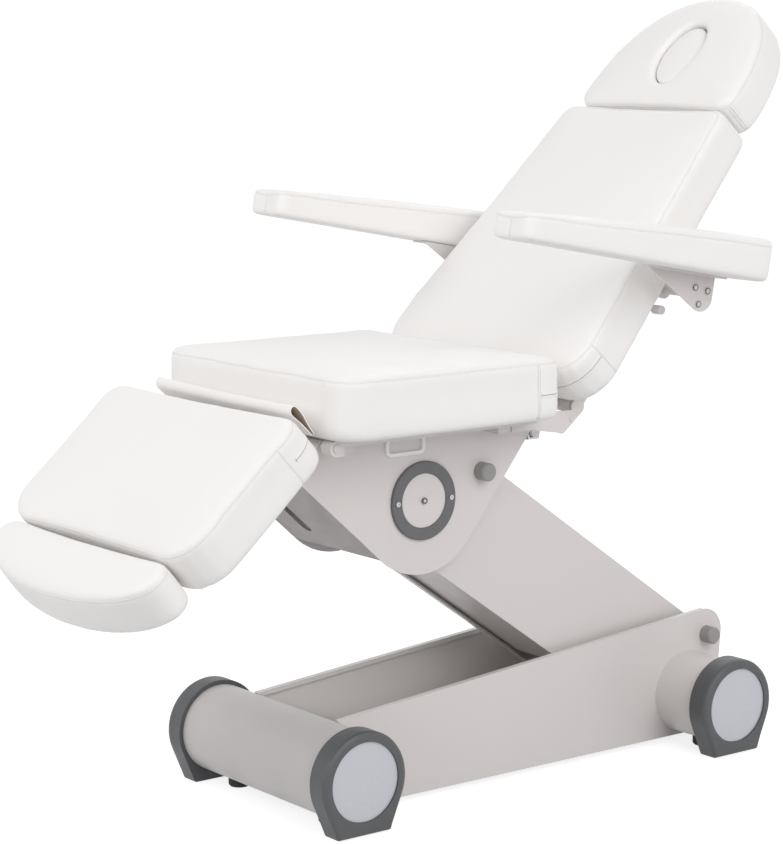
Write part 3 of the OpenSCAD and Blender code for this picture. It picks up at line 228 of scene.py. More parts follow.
def hangLamps():
    for i, (place, size, power, colour) in enumerate(studio["lamps"]):
        data = bpy.data.lights.new("softBox%d" % i, "AREA")
        data.size = size
        data.energy = power
        data.color = colour
        lamp = addObject("softBox%d" % i, data)
        lamp.location = place
        aim = Vector(studio["aim"]) - Vector(place)
        lamp.rotation_euler = aim.to_track_quat("-Z", "Y").to_euler()


placeCamera()
layFloor()
lightSky()
hangLamps()
print("studio ready")


finishes = {
    "whiteLeatherette": {
        "colour": (0.930, 0.914, 0.903), "tone": (0.905, 0.888, 0.876), "patch": 5,
        "rough": (0.50, 0.62), "roughPatch": 14,
        "grain": 900, "grainDepth": 0.10, "cells": True, "wave": 38, "waveDepth": 0.5,
    },
    "warmGreyPaint": {
        "colour": (0.745, 0.708, 0.700), "tone": (0.715, 0.680, 0.672), "patch": 3,
        "rough": (0.36, 0.46), "roughPatch": 20,
        "grain": 520, "grainDepth": 0.05, "wave": 9, "waveDepth": 0.15,
    },
    # the frame paint darkened as painted shade, on the front tube and the head plate
    "frameShadePaint": {
        "colour": (0.600, 0.575, 0.572), "tone": (0.575, 0.552, 0.549), "patch": 3,
        "rough": (0.36, 0.46), "roughPatch": 20,
        "grain": 520, "grainDepth": 0.05, "wave": 9, "waveDepth": 0.15,
    },
    # the frame paint darkened further as painted shade, on the bracket's front panel
    "panelShadePaint": {
        "colour": (0.375, 0.348, 0.340), "tone": (0.350, 0.325, 0.318), "patch": 3,
        "rough": (0.40, 0.50), "roughPatch": 20,
        "grain": 520, "grainDepth": 0.05, "wave": 9, "waveDepth": 0.15,
    },
    "capPlastic": {
        "colour": (0.098, 0.102, 0.108), "tone": (0.086, 0.090, 0.096), "patch": 8,
        "rough": (0.42, 0.52), "roughPatch": 30, "grain": 1400, "grainDepth": 0.06,
    },
    "ringPlastic": {
        "colour": (0.140, 0.142, 0.148), "tone": (0.125, 0.127, 0.132), "patch": 12,
        "rough": (0.38, 0.48), "roughPatch": 40, "grain": 1400, "grainDepth": 0.05,
    },
    "lensPlastic": {
        "colour": (0.590, 0.608, 0.662), "tone": (0.584, 0.602, 0.656), "patch": 9,
        "rough": (0.27, 0.29), "roughPatch": 22, "grain": 700, "grainDepth": 0.01, "coat": 0.3,
    },
    "blackHousing": {
        "colour": (0.022, 0.022, 0.024), "tone": (0.030, 0.030, 0.032), "patch": 18,
        "rough": (0.45, 0.60), "roughPatch": 40, "grain": 1200, "grainDepth": 0.08,
    },
    "footRubber": {
        "colour": (0.018, 0.018, 0.018), "tone": (0.030, 0.029, 0.028), "patch": 40,
        "rough": (0.70, 0.85), "roughPatch": 60, "grain": 1500, "grainDepth": 0.1,
    },
    "knobPlastic": {
        "colour": (0.330, 0.322, 0.312), "tone": (0.300, 0.294, 0.285), "patch": 20,
        "rough": (0.40, 0.50), "roughPatch": 40, "grain": 1500, "grainDepth": 0.05,
    },
    "platedSteel": {
        "colour": (0.560, 0.565, 0.575), "tone": (0.480, 0.485, 0.495), "patch": 30,
        "rough": (0.24, 0.40), "roughPatch": 90, "grain": 260, "grainDepth": 0.04,
        "metallic": 1.0, "stretch": (0.15, 1, 1),
    },
    "screwSteel": {
        "colour": (0.170, 0.155, 0.145), "tone": (0.130, 0.120, 0.112), "patch": 60,
        "rough": (0.35, 0.50), "roughPatch": 120, "grain": 900, "grainDepth": 0.05,
    },
    "coatedWire": {
        "colour": (0.900, 0.895, 0.885), "tone": (0.870, 0.862, 0.850), "patch": 20,
        "rough": (0.30, 0.40), "roughPatch": 30, "grain": 800, "grainDepth": 0.04,
    },
    "zipTape": {
        "colour": (0.360, 0.345, 0.325), "tone": (0.300, 0.288, 0.270), "patch": 60,
        "rough": (0.45, 0.60), "roughPatch": 90, "grain": 900, "grainDepth": 0.15,
    },
    # a lighter painted shade in the valley of the ring seam
    "softSeamShade": {
        "colour": (0.800, 0.785, 0.770), "tone": (0.760, 0.745, 0.730), "patch": 60,
        "rough": (0.60, 0.75), "roughPatch": 90, "grain": 900, "grainDepth": 0.10,
    },
    # painted shade in the valley of a stitched seam, where the groove sinks
    "seamShade": {
        "colour": (0.620, 0.605, 0.590), "tone": (0.560, 0.545, 0.530), "patch": 60,
        "rough": (0.60, 0.75), "roughPatch": 90, "grain": 900, "grainDepth": 0.10,
    },
    "liningCloth": {
        "colour": (0.700, 0.620, 0.530), "tone": (0.640, 0.560, 0.470), "patch": 40,
        "rough": (0.75, 0.90), "roughPatch": 80, "grain": 1300, "grainDepth": 0.20,
    },
    "palePly": {
        "colour": (0.640, 0.520, 0.370), "tone": (0.520, 0.400, 0.265), "patch": 14,
        "rough": (0.55, 0.70), "roughPatch": 30, "grain": 240, "grainDepth": 0.15,
        "stretch": (1, 0.08, 6),
    },
}
surfaceLook = {
    "patchDetail": 3.0, "grainDetail": 2.0,
    "roughSpan": (0.35, 0.65),  # the part of the noise that runs from the smooth to the rough value
    "grainStrength": 0.6, "waveStrength": 0.5,
}


def makeFinish(name, look):
    mat = bpy.data.materials.new(name)
    mat.use_nodes = True
    tree = mat.node_tree
    link = tree.links.new
    shader = tree.nodes["Principled BSDF"]
    shader.inputs["Metallic"].default_value = look.get("metallic", 0)
    shader.inputs["Coat Weight"].default_value = look.get("coat", 0)
    place = tree.nodes.new("ShaderNodeTexCoord")
    spread = tree.nodes.new("ShaderNodeMapping")
    spread.inputs["Scale"].default_value = look.get("stretch", (1, 1, 1))
    link(place.outputs["Object"], spread.inputs["Vector"])

    def cloud(scale, detail):
        made = tree.nodes.new("ShaderNodeTexNoise")
        made.inputs["Scale"].default_value = scale
        made.inputs["Detail"].default_value = detail
        link(spread.outputs["Vector"], made.inputs["Vector"])
        return made.outputs["Fac"]

    def cells(scale):
        made = tree.nodes.new("ShaderNodeTexVoronoi")
        made.feature = "SMOOTH_F1"
        made.inputs["Scale"].default_value = scale
        link(spread.outputs["Vector"], made.inputs["Vector"])
        return made.outputs["Distance"]

    def bumped(height, strength, depth):
        made = tree.nodes.new("ShaderNodeBump")
        made.inputs["Strength"].default_value = strength
        made.inputs["Distance"].default_value = depth * mm
        link(height, made.inputs["Height"])
        return made

    blend = tree.nodes.new("ShaderNodeMix")
    blend.data_type = "RGBA"
    factor, first, second = blend.inputs[0], blend.inputs[6], blend.inputs[7]
    first.default_value = (*look["colour"], 1)
    second.default_value = (*look["tone"], 1)
    link(cloud(look["patch"], surfaceLook["patchDetail"]), factor)
    link(blend.outputs[2], shader.inputs["Base Color"])

    rough = tree.nodes.new("ShaderNodeMapRange")
    for end, noiseValue, roughness in zip(("Min", "Max"), surfaceLook["roughSpan"], look["rough"]):
        rough.inputs["From " + end].default_value = noiseValue
        rough.inputs["To " + end].default_value = roughness
    link(cloud(look["roughPatch"], surfaceLook["patchDetail"]), rough.inputs["Value"])
    link(rough.outputs[0], shader.inputs["Roughness"])

    grain = cells(look["grain"]) if look.get("cells") else cloud(look["grain"], surfaceLook["grainDetail"])
    last = bumped(grain, surfaceLook["grainStrength"], look["grainDepth"])
    if look.get("wave"):
        swell = cloud(look["wave"], surfaceLook["grainDetail"])
        wave = bumped(swell, surfaceLook["waveStrength"], look["waveDepth"])
        link(last.outputs[0], wave.inputs["Normal"])
        last = wave
    link(last.outputs[0], shader.inputs["Normal"])
    return mat


materials = {name: makeFinish(name, look) for name, look in finishes.items()}
finishOfSlot = {
    "painted_frame": "warmGreyPaint", "end_cap": "capPlastic", "cap_lens": "lensPlastic",
    "black_plastic": "blackHousing", "rubber_foot": "footRubber", "knob": "knobPlastic",
    "bare_steel": "platedSteel", "hanger": "coatedWire", "board": "palePly",
    "upholstery": "whiteLeatherette",
}
finishOfNode = {
    # nodes that differ from the rest of their slot; the front tube and head plate take the frame paint
    # darkened as painted shade, the bracket front darker still as painted shade
    "hinge_rings": "ringPlastic", "front_tube": "frameShadePaint", "bracket_front": "panelShadePaint",
    "back_board": "whiteLeatherette", "head_plate": "frameShadePaint",
}


def paint(obj, *names):
    obj.data.materials.clear()
    for name in names:
        obj.data.materials.append(materials[name])


for row in frame["record"]["subparts"]:
    paint(nodes[row["node"]], finishOfNode.get(row["node"], finishOfSlot[row["material_slot"]]))
print("finishes made:", len(materials))


restTilt = -10.4  # the armrests' slope towards their front end, in degrees
padPlan = {
    # far, near, top: how far the stuffed cover stands past the drawn cushion on its sides and its face,
    # in mm, from the low end to the high one; foot, head: the same at the two ends
    "seatPad": {
        "nodes": ["seat_cushion", "seat_board"], "body": "carriage", "slope": 0, "voxel": 6.5, "cap": 5,
        "far": (4, 4), "near": (2, 3), "top": (6, 4), "foot": 0, "head": 3, "seamDown": 20,
        "endSeam": {"end": 1, "back": 58, "rows": 2, "zipUp": 53},
    },
    "legPad": {
        "nodes": ["leg_cushion", "leg_board"], "body": "leg", "slope": 42, "voxel": 6, "cap": 5,
        "far": (14, 13), "near": (1, 1), "top": (13, 13), "foot": 2, "head": 0, "seamDown": 22,
        "endSeam": {"end": 1, "back": 75, "rows": 1, "zipUp": 54, "zipPast": 14},
    },
    "footPad": {
        "nodes": ["foot_cushion"], "body": "foot", "slope": 38, "voxel": 5, "cap": 4,
        "far": (9, 9), "near": (2, 2), "top": (15, 15), "foot": 4, "head": 2, "seamDown": 22, "belly": 9,
    },
    "backPad": {
        "nodes": ["back_cushion"], "body": "back", "slope": 47.5, "voxel": 6.5, "cap": 5,
        "far": (24, 9), "near": (-1, 2), "top": (2, 6, 15, 7), "foot": 0, "head": 10, "seamDown": 19,
        "endSeam": {"end": -1, "back": 83, "rows": 1, "zipUp": 62}, "endBulge": 9,
    },
    "headPad": {
        "nodes": ["head_cushion"], "body": "head", "slope": 47.5, "voxel": 5, "cap": 4,
        "far": (4, 4), "near": (2, 2), "top": (4, 5), "foot": 3, "head": 8, "seamDown": 25, "round": 40,
        "endSeam": {"end": -1, "back": 10, "rows": 2},
    },
    "facePlug": {
        # its cover shows no seam
        "nodes": ["face_plug"], "body": "plug", "slope": 47.5, "voxel": 4, "cap": 1,
        "far": (0, 0), "near": (0, 0), "top": (0, 0), "foot": 0, "head": 0, "relax": 3,
    },
}
for side, top in (("right", (4, 4)), ("left", (6, 6))):
    padPlan["restPad" + side.title()] = {
        "nodes": ["rest_cushion_" + side, "rest_board_" + side], "body": "armrest_" + side,
        "slope": restTilt, "voxel": 5, "cap": 3, "far": (2, 2), "near": (2, 2), "top": top,
        "foot": 1, "head": 2, "seamDown": 13, "relax": 16, "tipSeam": True,
    }


def levelled(plan):
    return Matrix.Rotation(math.radians(-plan["slope"]), 4, "X")


def surfaceOf(pad):
    mesh = pad.data
    return BVHTree.FromPolygons([v.co for v in mesh.vertices], [tuple(p.vertices) for p in mesh.polygons])


stuffing = {
    # lengths in mm
    "shrink": 4.0, "topShrink": 3.0,  # taken off the drawn cushion before it is stuffed
    "pressure": 4, "frames": 20, "quality": 4,
    "heldHeight": 2.5,  # up to here the cover is fixed to its board
    "search": 16, "stepBack": 2,  # length of a point's rays to the drawn cushion, and their start behind it
    "keep": 0.2,  # share of the stuffed shape that stays
    "firstRelax": 2, "relax": 36,  # rounds of smoothing
}


def startPad(name, plan):
    pad = copyOfNode(plan["nodes"][0], name)
    pad.data.transform(levelled(plan))
    if len(plan["nodes"]) > 1:
        # the cover is drawn round its board, which fills the pocket
        board = copyOfNode(plan["nodes"][1], "filler")
        board.data.transform(levelled(plan))
        pickOnly(pad)
        board.select_set(True)
        bpy.ops.object.join()
    points = readPoints(pad)
    low, high = points.min(0), points.max(0)
    plan["low"], plan["high"], plan["drawn"] = low, high, surfaceOf(pad)
    middle = (low + high) / 2
    scale = 1 - 2 * min(stuffing["shrink"], plan["cap"]) * mm / (high - low)
    scale[2] = 1 - min(stuffing["topShrink"], plan["cap"]) * mm / (high[2] - low[2])
    pivot = np.array([middle[0], middle[1], low[2]])
    writePoints(pad, pivot + (points - pivot) * scale)
    applyModifier(pad, "REMESH", mode="VOXEL", voxel_size=plan["voxel"] * mm)
    return pad


def addStuffing(pad):
    points = readPoints(pad)
    resting = pad.vertex_groups.new(name="onBoard")
    held = np.nonzero(points[:, 2] < points[:, 2].min() + stuffing["heldHeight"] * mm)[0]
    resting.add([int(i) for i in held], 1.0, "REPLACE")
    cloth = pad.modifiers.new("stuffing", "CLOTH")
    cloth.settings.quality = stuffing["quality"]
    cloth.settings.use_pressure = True
    cloth.settings.uniform_pressure_force = stuffing["pressure"]
    cloth.settings.effector_weights.gravity = 0
    cloth.settings.vertex_group_mass = "onBoard"
    cloth.collision_settings.use_collision = False
    cloth.collision_settings.use_self_collision = False
    return points


def settlePad(pad, plan, start):
    if start is not None:
        # no point moves further than the plan's cap
        pickOnly(pad)
        bpy.ops.object.modifier_apply(modifier="stuffing")
        move = readPoints(pad) - start
        far = np.linalg.norm(move, axis=1)
        cap = plan["cap"] * mm
        move *= np.where(far > cap, cap / np.maximum(far, tiny), 1)[:, None]
        writePoints(pad, start + move)
        pad.vertex_groups.clear()
    applyModifier(pad, "SMOOTH", factor=0.5, iterations=stuffing["firstRelax"])
    applyModifier(pad, "SUBSURF", levels=1, render_levels=1)
    takeDrawnForm(pad, plan)
    growPad(pad, plan)
    slackenCover(pad, plan)


def takeDrawnForm(pad, plan):
    # each point goes out or in to the drawn cushion, keeping a little of the stuffing's own shape
    points, normals = readPoints(pad), readNormals(pad)
    search, stepBack = stuffing["search"] * mm, stuffing["stepBack"] * mm
    for i, point in enumerate(points):
        place, way = Vector(point), Vector(normals[i])
        out = plan["drawn"].ray_cast(place - way * stepBack, way, search)
        back = plan["drawn"].ray_cast(place + way * stepBack, -way, search)
        found = [hit[0] for hit in (out, back) if hit[0] is not None]
        if found:
            goal = min(found, key=lambda spot: (spot - place).length)
        else:
            goal = plan["drawn"].find_nearest(place)[0]
        points[i] = np.array(goal.lerp(place, stuffing["keep"]))
    writePoints(pad, points)
    applyModifier(pad, "SMOOTH", factor=0.5, iterations=plan.get("relax", stuffing["relax"]))


growth = {
    "stops": (0, 0.04, 0.2, 1),  # places along a pad for a growth that is given by four values
    "bulgeFade": 9,  # the end bulge reaches one ninth of the length
    "bellyPower": 4,  # how late the belly rises towards the sides
    # the softened edge: how soon along the pad, from what height, how soon above it, least weight
    "roundFade": 6, "roundFrom": 0.45, "roundGain": 4, "roundLeast": 0.02,
}


def growPad(pad, plan):
    # the full cover stands past the drawn one, by what the plan gives for each side
    low, high = plan["low"], plan["high"]
    points = readPoints(pad)
    middle = (low[0] + high[0]) / 2
    half = (high[0] - low[0]) / 2
    share = np.clip((points[:, 1] - low[1]) / (high[1] - low[1]), 0, 1)
    rise = np.clip((points[:, 2] - low[2]) / (high[2] - low[2]), 0, 1)

    def between(values):
        stops = (0, 1) if len(values) == 2 else growth["stops"]
        return np.interp(share, stops, values) * mm

    side = (points[:, 0] - middle) / half
    points[:, 0] += np.where(side > 0, side * between(plan["near"]), side * between(plan["far"]))
    points[:, 1] += (share * plan["head"] - (1 - share) * plan["foot"]) * mm
    points[:, 2] += rise * between(plan["top"])
    if plan.get("endBulge"):
        bow = np.clip(1 - (2 * rise - 1) ** 2, 0, 1) * np.clip(1 - share * growth["bulgeFade"], 0, 1)
        points[:, 1] -= bow * plan["endBulge"] * mm
    if plan.get("belly"):
        points[:, 2] += np.abs(side) ** growth["bellyPower"] * plan["belly"] * mm * (1 - rise)
    points[:, 2] = np.maximum(points[:, 2], low[2])
    writePoints(pad, points)
    if plan.get("round"):
        # a softer edge round the far end and the sides
        loose = pad.vertex_groups.new(name="softEdge")
        weight = np.clip(share * growth["roundFade"], 0, 1)
        weight *= np.clip((rise - growth["roundFrom"]) * growth["roundGain"], 0, 1)
        for i in np.nonzero(weight > growth["roundLeast"])[0]:
            loose.add([int(i)], float(weight[i]), "REPLACE")
        applyModifier(pad, "SMOOTH", factor=0.5, iterations=plan["round"], vertex_group="softEdge")
        pad.vertex_groups.clear()


slack = {
    "waveHeight": 1.2, "waveLength": 110, "fineHeight": 0.4, "fineLength": 30,
    "calmHeight": 14,  # so far above the board the waves reach their full height
}


def slackenCover(pad, plan):
    # long soft waves and finer ones, fading out towards the board
    points, normals = readPoints(pad), readNormals(pad)
    wave = np.array([noise.noise(Vector(p) / (slack["waveLength"] * mm)) for p in points])
    fine = np.array([noise.noise(Vector(p) / (slack["fineLength"] * mm)) for p in points])
    off = -np.abs(wave) * slack["waveHeight"] * mm + (fine - 1) * slack["fineHeight"] * 0.5 * mm
    free = np.clip((points[:, 2] - plan["low"][2]) / (slack["calmHeight"] * mm), 0, 1)
    writePoints(pad, points + normals * (off * free)[:, None])


seamPlan = {
    "rowGap": 4.5,  # between two rows of one seam, in mm
    "probeIn": 60, "probeWidth": 8,  # where the top edge's height is read, from each end
    "ringRays": 720, "rayStart": 2.2,  # rays round the pad, from so many times its half size
    "climbRays": 40, "sideStart": 0.6, "tipStart": 0.1,  # rays up the side, from so many metres away
    "climbFrom": 8, "tipFrom": 6, "climbShort": 1,  # a climbing seam's ends, off the base and the ring
    "zipPast": 1,  # how far a zip runs past its seam
    "leastRun": 4,
}
welt = {
    "step": 4.0, "groove": 1.1, "grooveWidth": 3.0,
    "evenTurns": 6,  # rounds that even out the normals along a run
    # a strip's section across its run: side, height over the cover, in mm
    "profile": [(-2.6, -0.8), (-1.9, -0.1), (-1.0, 0.3), (-0.35, 0.15), (0, -0.45), (0.35, 0.15),
                (1.0, 0.3), (1.9, -0.1), (2.6, -0.8), (0, -1.6)],
    "flatProfile": [(-2.4, -0.9), (-1.6, -0.3), (-0.8, 0.05), (-0.3, 0.0), (0, -0.3), (0.3, 0.0),
                    (0.8, 0.05), (1.6, -0.3), (2.4, -0.9), (0, -1.6)],
    "zipProfile": [(-6.2, -0.7), (-5.2, 0.3), (-3.4, 0.7), (-1.3, 0.9), (-0.7, 0.5), (-0.6, -0.5),
                   (0.6, -0.5), (0.7, 0.5), (1.3, 0.9), (3.4, 0.7), (5.2, 0.3), (6.2, -0.7), (0, -1.8)],
    "teeth": [(-0.75, -0.4), (-0.75, 0.15), (0.75, 0.15), (0.75, -0.4)],
    # a section's valley faces that take the painted seam shade: both heights added, the lower height,
    # distance to the side
    "lineUnder": -0.1, "lineOver": -1, "lineWide": 1,
}


def topAt(pad, plan):
    # height of the top edge along the pad: level, or falling towards an armrest's front end
    points = readPoints(pad)
    low, high = points.min(0), points.max(0)
    if not plan.get("tipSeam"):
        return lambda y: high[2]
    ends = []
    for y in (low[1] + seamPlan["probeIn"] * mm, high[1] - seamPlan["probeIn"] * mm):
        near = np.abs(points[:, 1] - y) < seamPlan["probeWidth"] * mm
        ends.append((y, points[near][:, 2].max()))
    fall = (ends[1][1] - ends[0][1]) / (ends[1][0] - ends[0][0])
    return lambda y: ends[1][1] + fall * (y - ends[1][0])


def ringRun(surface, plan, height):
    # a run round the pad's side, where rays from outside meet it; height is a function of y
    low, high = plan["low"], plan["high"]
    middle = (low + high) / 2
    wide, long = (high - low)[:2] / 2
    rough = []
    for i in range(seamPlan["ringRays"]):
        angle = 2 * math.pi * i / seamPlan["ringRays"]
        # they start on an ellipse as long and wide as the pad, so that its long sides get their share
        aim = Vector((math.cos(angle) * wide, math.sin(angle) * long, 0))
        z = height(middle[1] + aim.y)
        begin = Vector((middle[0], middle[1], z)) + aim * seamPlan["rayStart"]
        hit = surface.ray_cast(begin, -aim.normalized())
        if hit[0] is not None:
            rough.append(np.array(hit[0]))
    return evenSteps(rough, True)


def climbRun(surface, outside, inward, fromZ, toZ):
    # a run up the pad's side, where rays from straight outside meet it
    run = []
    for t in np.linspace(0, 1, seamPlan["climbRays"]):
        hit = surface.ray_cast(Vector((*outside, fromZ + (toZ - fromZ) * t)), Vector(inward))
        if hit[0] is not None:
            run.append(np.array(hit[0]))
    return evenSteps(run, False) if len(run) > seamPlan["leastRun"] else None


def evenSteps(run, closed):
    run = [np.array(p) for p in run]
    if closed:
        run.append(run[0])
    run = np.array(run)
    lengths = np.concatenate([[0], np.cumsum(np.linalg.norm(np.diff(run, axis=0), axis=1))])
    count = max(seamPlan["leastRun"], int(round(lengths[-1] / (welt["step"] * mm))))
    wanted = np.linspace(0, lengths[-1], count + 1)
    if closed:
        wanted = wanted[:-1]
    return np.array([[np.interp(w, lengths, run[:, k]) for k in range(3)] for w in wanted])


def normalsAlong(run, surface, closed):
    found = np.array([surface.find_nearest(Vector(p))[1] for p in run])
    for _ in range(welt["evenTurns"]):
        before, after = np.roll(found, 1, 0), np.roll(found, -1, 0)
        if not closed:
            before[0], after[-1] = found[0], found[-1]
        found = found * 0.5 + (before + after) * 0.25
    return found / np.linalg.norm(found, axis=1)[:, None]


def inSeamShade(profile, k, q):
    # whether the face between points k and q of a section takes the painted seam shade
    heights = (profile[k][1], profile[q][1])
    if profile is welt["teeth"] or abs(profile[k][0]) >= welt["lineWide"]:
        return False
    return sum(heights) < welt["lineUnder"] and min(heights) > welt["lineOver"]


def layStrip(run, normals, closed, profile, finish="whiteLeatherette", thread="seamShade"):
    # a closed strip of the given section along a run that lies on the cover
    n, m = len(run), len(profile)
    ahead = np.roll(run, -1, 0) - np.roll(run, 1, 0)
    if not closed:
        ahead[0], ahead[-1] = run[1] - run[0], run[-1] - run[-2]
    ahead /= np.linalg.norm(ahead, axis=1)[:, None]
    across = np.cross(normals, ahead)
    across /= np.linalg.norm(across, axis=1)[:, None]
    points = [run[i] + (across[i] * a + normals[i] * h) * mm for i in range(n) for a, h in profile]
    faces, seamShaded = [], []
    for i in range(n if closed else n - 1):
        j = (i + 1) % n
        for k in range(m):
            q = (k + 1) % m
            faces.append((i * m + k, i * m + q, j * m + q, j * m + k))
            seamShaded.append(inSeamShade(profile, k, q))
    if not closed:
        faces.append(tuple(range(m)))
        faces.append(tuple((n - 1) * m + k for k in reversed(range(m))))
    mesh = bpy.data.meshes.new("strip")
    mesh.from_pydata([tuple(p) for p in points], [], faces)
    strip = addObject("strip", mesh)
    turnFacesOut(strip)
    paint(strip, finish, thread)
    # the valley faces of a seam take the painted seam shade
    for i, dark in enumerate(seamShaded):
        strip.data.polygons[i].material_index = int(dark)
    return strip


def sewPad(pad, plan):
    # every seam and zip of one pad: strips over the cover, in grooves
    low, high = plan["low"], plan["high"]
    top, surface = topAt(pad, plan), surfaceOf(pad)
    strips, runs, teeth = [], [], []

    def sew(run, closed, profile, **finish):
        if run is not None:
            normals = normalsAlong(run, surface, closed)
            strips.append(layStrip(run, normals, closed, welt[profile], **finish))
            runs.append(run)

    def climbTo(y):
        return top(y) - (plan["seamDown"] + seamPlan["climbShort"]) * mm

    ring = ringRun(surface, plan, lambda y: top(y) - plan["seamDown"] * mm)
    sew(ring, True, "flatProfile", thread="softSeamShade")
    seam = plan.get("endSeam")
    if seam:
        end = seam["end"]
        edge = high[1] if end > 0 else low[1]
        for x in (-1, 1):
            for row in range(seam["rows"]):
                y = edge - end * (seam["back"] + row * seamPlan["rowGap"]) * mm
                outside = (x * seamPlan["sideStart"], y)
                foot = low[2] + seamPlan["climbFrom"] * mm
                sew(climbRun(surface, outside, (-x, 0, 0), foot, climbTo(y)), False, "profile")
        if seam.get("zipUp"):
            zipRing = ringRun(surface, plan, lambda y: low[2] + seam["zipUp"] * mm)
            stop = edge - end * (seam["back"] - seam.get("zipPast", seamPlan["zipPast"])) * mm
            keep = (zipRing[:, 1] - stop) * end > 0
            first = int(np.nonzero(keep & ~np.roll(keep, 1))[0][0])
            run = np.roll(zipRing, -first, 0)[:int(keep.sum())]
            sew(run, False, "zipProfile")
            teeth.append(layStrip(run, normalsAlong(run, surface, False), False, welt["teeth"], "zipTape"))
    if plan.get("tipSeam"):
        outside = ((low[0] + high[0]) / 2, low[1] - seamPlan["tipStart"])
        foot = low[2] + seamPlan["tipFrom"] * mm
        sew(climbRun(surface, outside, (0, 1, 0), foot, climbTo(low[1])), False, "profile")
    groovePad(pad, runs)
    return strips, teeth


pucker = {
    "depth": 0.55, "length": 17, "reach": 22,  # of the small folds beside a seam, in mm
    "drift": 30, "slice": 3,  # where the folds are read in the noise
    "calm": 5,  # so far from the seam they reach their full depth
}


def groovePad(pad, runs):
    # the cover sinks along each seam and puckers a little beside it
    seams = [Vector(point) for run in runs for point in run]
    tree = KDTree(len(seams))
    for i, point in enumerate(seams):
        tree.insert(point, i)
    tree.balance()
    points, normals = readPoints(pad), readNormals(pad)
    reach = pucker["reach"] * mm
    for i, point in enumerate(points):
        _, index, far = tree.find(Vector(point))
        if far > reach * 2:
            continue
        sink = welt["groove"] * math.exp(-(far / (welt["grooveWidth"] * mm)) ** 2)
        along = index * welt["step"] / pucker["length"]
        drift = far * pucker["drift"]
        ruck = pucker["depth"] * noise.noise(Vector((along, drift, pucker["slice"])))
        ruck *= math.exp(-(far / reach) ** 2) * min(1, far / (pucker["calm"] * mm))
        points[i] -= normals[i] * (sink + abs(ruck)) * mm
    writePoints(pad, points)


def finishPad(pad, plan, name):
    strips, teeth = sewPad(pad, plan) if plan.get("seamDown") else ([], [])
    paint(pad, "whiteLeatherette")
    pickOnly(pad)
    for strip in strips:
        strip.select_set(True)
    if strips:
        bpy.ops.object.join()
    pad.data.transform(levelled(plan).inverted())
    smoothAll(pad)
    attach(pad, plan["body"])
    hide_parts(*plan["nodes"])
    for strip in teeth:
        strip.data.transform(levelled(plan).inverted())
        strip.name = name + "Zip"
        smoothAll(strip)
        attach(strip, plan["body"])


pads = {name: startPad(name, plan) for name, plan in padPlan.items()}
starts = {name: None for name in pads}
starts = {name: addStuffing(pad) for name, pad in pads.items()}
for step in range(1, stuffing["frames"] + 1):
    bpy.context.scene.frame_set(step)
print("cushions stuffed")
for name, pad in pads.items():
    settlePad(pad, padPlan[name], starts[name])
    finishPad(pad, padPlan[name], name)
    print("pad", name, len(pad.data.polygons), "faces")


flapPlan = {
    "far": -232, "near": 219, "thick": 1.7, "steps": 90, "pathSteps": 60, "softTurns": 4,
    # side view of the folded strip as (towards the head, up) from the seat's lower front edge, in mm
    "path": [(-2.3, 13), (-8, 21), (-18, 35), (-27, 51), (-36, 61), (-42, 66.5), (-47, 68.5), (-52, 66),
             (-54.5, 60), (-53, 53), (-45, 46), (-34, 37.5), (-23, 27.5), (-13, 17.5), (-7.5, 11)],
    "farRise": 5, "sag": 2.2, "pressed": 3,
    "freeFrom": 30, "freeOver": 36,  # the fold sags and waves above this height, and fully so much higher
    "wave": 1.6, "waveAcross": 70, "waveUp": 30, "waveSlice": 1.5,
    "liningFrom": 0.35, "crisp": 50,
}


def softPath():
    # the fold's side view in even steps, with its corners eased
    path = np.array(flapPlan["path"], float)
    given, wanted = np.linspace(0, 1, len(path)), np.linspace(0, 1, flapPlan["pathSteps"])
    soft = np.stack([np.interp(wanted, given, path[:, k]) for k in range(2)], 1)
    for _ in range(flapPlan["softTurns"]):
        soft[1:-1] = soft[1:-1] * 0.5 + (soft[:-2] + soft[2:]) * 0.25
    return soft


